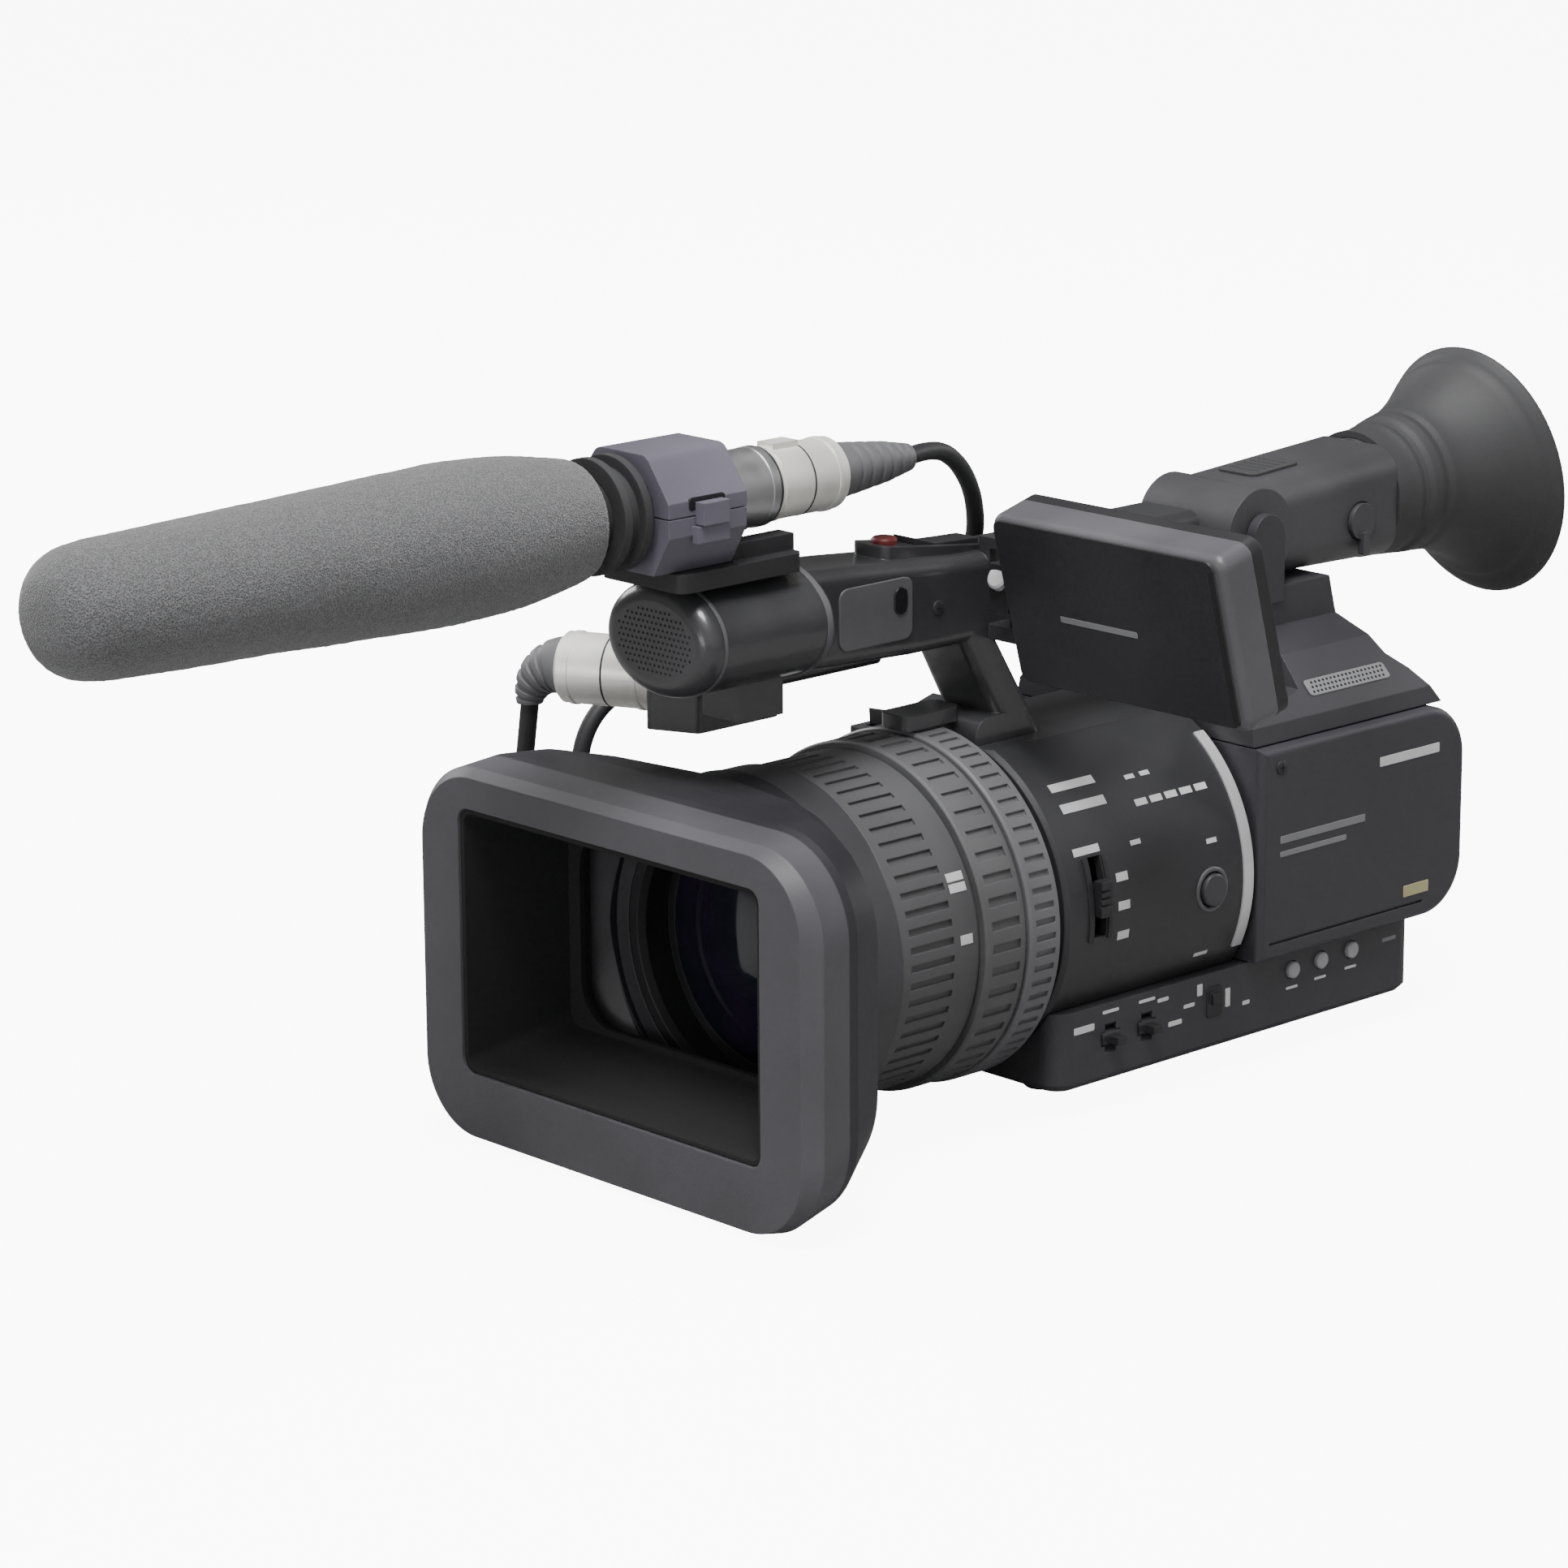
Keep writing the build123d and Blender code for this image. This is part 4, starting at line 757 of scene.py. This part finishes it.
def make_housing_marks():
    bars = [band((-68, -51), 46.5, 2.6), band((-68, -51), 38.5, 2.8), band((-70, -60), 23.5, 2.2),
            band((-48, -44), 22, 1.4), band((-19, -15), 16, 1.4), band((-21, -15.5), -24.4, 1.2)]
    row = [band((y, y + 4.6), 34.5, 2.0) for y in (-41, -35, -29, -23, -17)]
    row += [band((y, y + 3.6), 44, 1.4) for y in (-40, -34)]
    scale = [band((-56, -51.5), angle, 2.4) for angle in (12.2, 2.6, -7.6)]
    piece("housing_marks", join(bars + row + scale), "mark")
    piece("housing_rear_trim", patch(HOUSING_R, (-5.6, -1.8), (-25, 54), 0.6), "silver")
    guard = [(5.1, -0.4), (6.4, -0.4), (6.4, 0.5), (6.0, 0.8), (5.3, 0.8), (5.1, 0.5)]
    rim = lathe(guard, (47.1, -18.4, 55.7), (1, 0, 0), 48, True)
    piece("push_auto_rim", rim, "panel")
    rim = [patch(HOUSING_R, (-67.6, -65.8), (-7, 21), 0.5), patch(HOUSING_R, (-60.2, -58.6), (-7, 21), 0.5)]
    piece("filter_slot_rim", join(rim), "black")


def make_ring_marks():
    marks = [band((-116.6, -110.6), 26.3, 2.4, RING_R), band((-116.6, -110.6), 22.6, 2.4, RING_R),
             band((-115.6, -111.2), 5.3, 2.6, RING_R)]
    piece("focus_marks", join(marks), "mark", "focus_ring")


def make_base_marks():
    marks = [on_base(-65.5, 24.5, 8, 2.0), on_base(-34, 26.4, 4.5, 1.1), on_base(-23.3, 22.4, 4.5, 1.1),
             on_base(-55, 27.6, 6.5, 0.9), on_base(-40.5, 27.6, 6.5, 0.9), on_base(0.3, 18.4, 3, 1.2)]
    marks += [on_base(y, z - 5.2, 5, 0.8) for y, z in ((19.6, 24.0), (31.7, 24.4), (44.8, 24.8))]
    marks += [on_base(-19, 26.0, 2.2, 3.4), on_base(-7.4, 21.5, 2.0, 5.4), on_base(-29, 18.6, 5.5, 1.4)]
    piece("base_marks", join(marks), "mark")
    piece("base_faint_mark", on_base(61.5, 24.7, 6, 1.2), "faint")
    slide = [on_left(BASE_X, -13, 21.5, 6.5, 9.0, 0.35, 1.2),
             on_left(BASE_X + 0.3, -13, 22.6, 3.6, 3.4, 1.2, 0.6)]
    piece("display_switch", join(slide), "black")


def make_side_marks():
    piece("side_label_bar", on_side(63, 80, 26, 2.8), "mark")
    bars = [on_side(26, 65.0, 36, 2.2), on_side(22, 60.8, 28, 1.6)]
    piece("side_faint_bars", join(bars), "faint")
    piece("side_sticker", on_side(67, 39.6, 11, 3.4), "sticker")


def make_handle_trim():
    panel = on_left(HANDLE_X, -113.5, 143, 27, 17, 0.5, 3.0)
    piece("handle_side_panel", panel, "panel")
    oval = on_left(HANDLE_X + 0.5, -104.6, 145.3, 5.0, 7.6, 0.35, 2.4, 0.1)
    piece("handle_side_oval", oval, "gloss")
    nose = plate((0, -85, 106.2), (1, 0, 0), (0, 1, 0), 11, 21, 4.2, 2.5, 0.0)
    piece("foot_nose", nose, "handle")
    slot_mark = on_left(18.0, -179, 183.6, 12.5, 3.4, 0.15, 1.0)
    piece("clamp_slot_mark", slot_mark, "gloss", "mic_clamp_lid")


def oval_band(y_span, proud):
    """A rim round the pod."""
    turns = [2 * math.pi * k / 72 for k in range(72)]
    wide, high = POD_HALF
    rings = []
    for y, lift in ((y_span[0], -0.3), (y_span[0], proud), (y_span[1], proud), (y_span[1], -0.3)):
        rings.append([((wide + lift) * math.cos(t), y, POD_Z + (high + lift) * math.sin(t)) for t in turns])
    return skin(rings, looped=True)


def make_pod_trim():
    # The light front rim is a painted highlight where the pod's front disc turns into its side.
    piece("pod_front_highlight_rim", oval_band((-175.8, -174.8), 0.25), "panel")
    piece("pod_rear_rim", oval_band((-139.4, -137.6), 0.3), "panel")
    # The grille's holes are near-black dots standing a little proud: painted shade where the holes are.
    hole = [(0.4, -0.2), (0.4, 0.04), (0.3, 0.06)]
    front_y = -181.5
    pitch, row_pitch = 1.7, 1.6
    half_width, half_height = 14.5, 9.3
    holes = []
    for row in range(-5, 6):
        for col in range(-8, 9):
            x, z = col * pitch + (row % 2) * pitch / 2, row * row_pitch
            if (x / half_width) ** 2 + (z / half_height) ** 2 < 1:
                holes.append(lathe(hole, (x, front_y, POD_Z + z), (0, -1, 0), 8))
    piece("pod_grille_painted_shade", join(holes), "flock_and_painted_shade")


def make_plug_trim():
    """Collars and latch marks on the plugs, and contacts inside the open socket."""
    back = (0, 1, 0)
    sleeve = [(10.4, 0), (10.75, 0.3), (10.75, 3.2), (10.55, 3.4), (10.55, 15.6), (10.75, 15.8),
              (10.75, 18.2), (10.4, 18.5)]
    piece("microphone_rear_sleeve", lathe(sleeve, (0, -164.2, MIC_Z), back), "steel")
    collar = [(9.6, 0), (10.05, 0.2), (10.05, 1.6), (9.6, 1.8)]
    collars = [lathe(collar, (0, y, MIC_Z), back) for y in (-143.5, -124)]
    collars += [lathe(collar, PLUG_MOUTH + PLUG_OUT * way, PLUG_OUT) for way in (4, 24)]
    piece("plug_collars", join(collars), "nickel")
    seam = [(9.6, 0), (9.82, 0.05), (9.82, 0.55), (9.6, 0.6)]
    seams = [lathe(seam, (0, -133, MIC_Z), back), lathe(seam, PLUG_MOUTH + PLUG_OUT * 14, PLUG_OUT)]
    piece("plug_seams", join(seams), "black")
    pin = [(1.1, 0), (1.1, 9.5), (0.6, 10.2)]
    root_x, socket_y, socket_z = -28, -107, 133.5
    pin_circle = 4.6
    pins = []
    for angle in (90, 210, 330):
        t = math.radians(angle)
        root = (root_x, socket_y + pin_circle * math.cos(t), socket_z + pin_circle * math.sin(t))
        pins.append(lathe(pin, root, (-1, 0, 0), 16))
    piece("socket_contacts", join(pins), "brass")


def screw(centre, out, across):
    """A pan head with a cross in it: the head's mesh and the cross's, which is painted shade for the
    recess.
    """
    out, across = Vector(out), Vector(across)
    up = out.cross(across)
    head = lathe([(2.1, -0.3), (2.1, 0.25), (1.7, 0.5)], centre, out, 24)
    top = Vector(centre) + out * 0.5
    cross = [plate(top, across, up, wide, high, 0.06, 0.1, 0.1) for wide, high in ((2.2, 0.5), (0.5, 2.2))]
    return head, cross


def make_screws():
    places = [((HANDLE_X, y, 141), (1, 0, 0), (0, 1, 0)) for y in (-90, -30, 4)]
    places += [((-HANDLE_X, y, 141), (-1, 0, 0), (0, -1, 0)) for y in (-90, -30, 4)]
    places.append(((SIDE_X, 8, 86), (1, 0, 0), (0, 1, 0)))
    places += [((-BASE_X, y, 20), (-1, 0, 0), (0, -1, 0)) for y in (-60, 0, 60)]
    heads, crosses = [], []
    for place in places:
        head, cross = screw(*place)
        heads.append(head)
        crosses += cross
    piece("casing_screws", join(heads), "black")
    # Near-black crosses are painted shade for the recesses in the screw heads.
    piece("casing_screw_cross_shade", join(crosses), "flock_and_painted_shade")


def on_monitor(x, local_z, width, height, thick, side=-1, corner=0.4):
    """A plate on the leaning monitor: side -1 is its outside, +1 the screen's side."""
    lean = math.radians(MONITOR_LEAN)
    up = Vector((0, -math.sin(lean), math.cos(lean)))
    out = Vector((0, math.cos(lean), math.sin(lean))) * side
    half_thick = 7.5
    centre = Vector((x, *MONITOR_AXIS)) + up * local_z + out * half_thick
    return plate(centre, up.cross(out), up, width, height, thick, corner)


def make_monitor_trim():
    panel = on_monitor(69.2, 0, 79, 47.5, 0.3, corner=3)
    piece("monitor_outer_panel", panel, "lcd", "lcd_monitor")
    # A near-black strip is painted shade for a groove on the monitor's outside.
    piece("monitor_groove_shade", on_monitor(107.4, -0.5, 2.2, 44, 0.38), "flock_and_painted_shade", "lcd_monitor")
    piece("monitor_faint_bar", on_monitor(63, -2.2, 28, 2.0, 0.36), "faint", "lcd_monitor")
    keys = [on_monitor(x, -22.6, 7, 2.2, 0.5, 1) for x in (52, 62, 72, 82, 92)]
    piece("monitor_keys", join(keys), "panel", "lcd_monitor")
    knob = lathe([(3.4, -1), (3.4, 1.2), (2.8, 1.8), (1.2, 2.0)], (24, -78.6, 149.2), (0, -0.87, 0.48), 32)
    piece("hinge_knob", knob, "silver", "lcd_hinge")


def make_viewfinder_pad():
    """A rubber pad on the viewfinder's sloping roof, where a finger lifts it."""
    slope = 0.0586
    across, up_roof = (1, 0, 0), (0, 1, slope)
    middle_y, roof_z, rib_z = 51, 158.15, 159.05
    parts = [plate((0, middle_y, roof_z), across, up_roof, 15, 20, 0.9, 2.5, 0.5)]
    for way in (-6, -3, 0, 3, 6):
        parts.append(plate((0, middle_y + way, rib_z + slope * way), across, up_roof, 11, 0.9, 0.4, 0.4))
    piece("viewfinder_top_pad", join(parts), "rubber", "viewfinder")


def make_top_vents():
    """A light strip low on each slope of the top cover, with dots of painted shade for its holes."""
    for name, side in (("left", 1), ("right", -1)):
        up = Vector((-14 * side, 0, 14.5)).normalized()
        along = Vector((0, side, 0))
        centre = Vector((39.4 * side, 46, 103.3))
        strip = plate(centre, along, up, 34, 5.4, 0.35, 1.2)
        piece(f"{name}_vent_strip", strip, "faint")
        out = along.cross(up)
        # Near-black dots on the strip stand for its holes: painted shade.
        holes = []
        for row in (-1, 0, 1):
            for col in range(-9, 10):
                place = centre + along * (col * 1.65 + row * 0.5) + up * row * 1.5 + out * 0.33
                holes.append(lathe([(0.45, -0.1), (0.45, 0.05)], place, out, 8))
        piece(f"{name}_vent_shade_dots", join(holes), "flock_and_painted_shade")


def on_back(x, y, z, width, height, thick, corner=0.8):
    """A plate on a wall at y that faces backward."""
    return plate((x, y, z), (-1, 0, 0), (0, 0, 1), width, height, thick, corner)


def make_back_details():
    label = on_back(-4, BATTERY_Y, 64, 30, 20, 0.15)
    piece("battery_label", label, "panel", "battery")
    lines = [on_back(-4, BATTERY_Y + 0.15, z, 22, 1.0, 0.08, 0.2) for z in (69, 65.5, 62, 58.5)]
    piece("battery_label_lines", join(lines), "faint", "battery")
    ribs = [on_back(-4, BATTERY_Y, 38.5 + 2.4 * k, 26, 1.1, 0.6, 0.4) for k in range(5)]
    piece("battery_ribs", join(ribs), "black", "battery")
    covers = [on_back(38, BACK_Y, z, 13, 9, 0.9, 2) for z in (69, 57)]
    piece("connector_covers", join(covers), "rubber")
    tabs = [on_back(38, BACK_Y + 0.9, z, 6, 1.0, 0.3, 0.3) for z in (66, 54)]
    piece("connector_cover_tabs", join(tabs), "faint")
    socket, out = (24, BACK_Y, 56), (0, 1, 0)
    rim = [(2.2, -0.4), (4.2, -0.4), (4.2, 0.6), (3.8, 0.9), (2.4, 0.9), (2.2, 0.6)]
    piece("power_socket_rim", lathe(rim, socket, out, 40, True), "silver")
    # A near-black disc in the socket's mouth is painted shade for its hole.
    hole = lathe([(2.3, -0.3), (2.3, 0.1)], socket, out, 32)
    piece("power_socket_painted_shade", hole, "flock_and_painted_shade")
    piece("card_door_notch", on_back(-34.5, BACK_Y, 44.5, 7, 1.6, 0.35), "faint", "card_door")


make_housing_marks()
make_ring_marks()
make_base_marks()
make_side_marks()
make_handle_trim()
make_pod_trim()
make_plug_trim()
make_screws()
make_monitor_trim()
make_viewfinder_pad()
make_top_vents()
make_back_details()
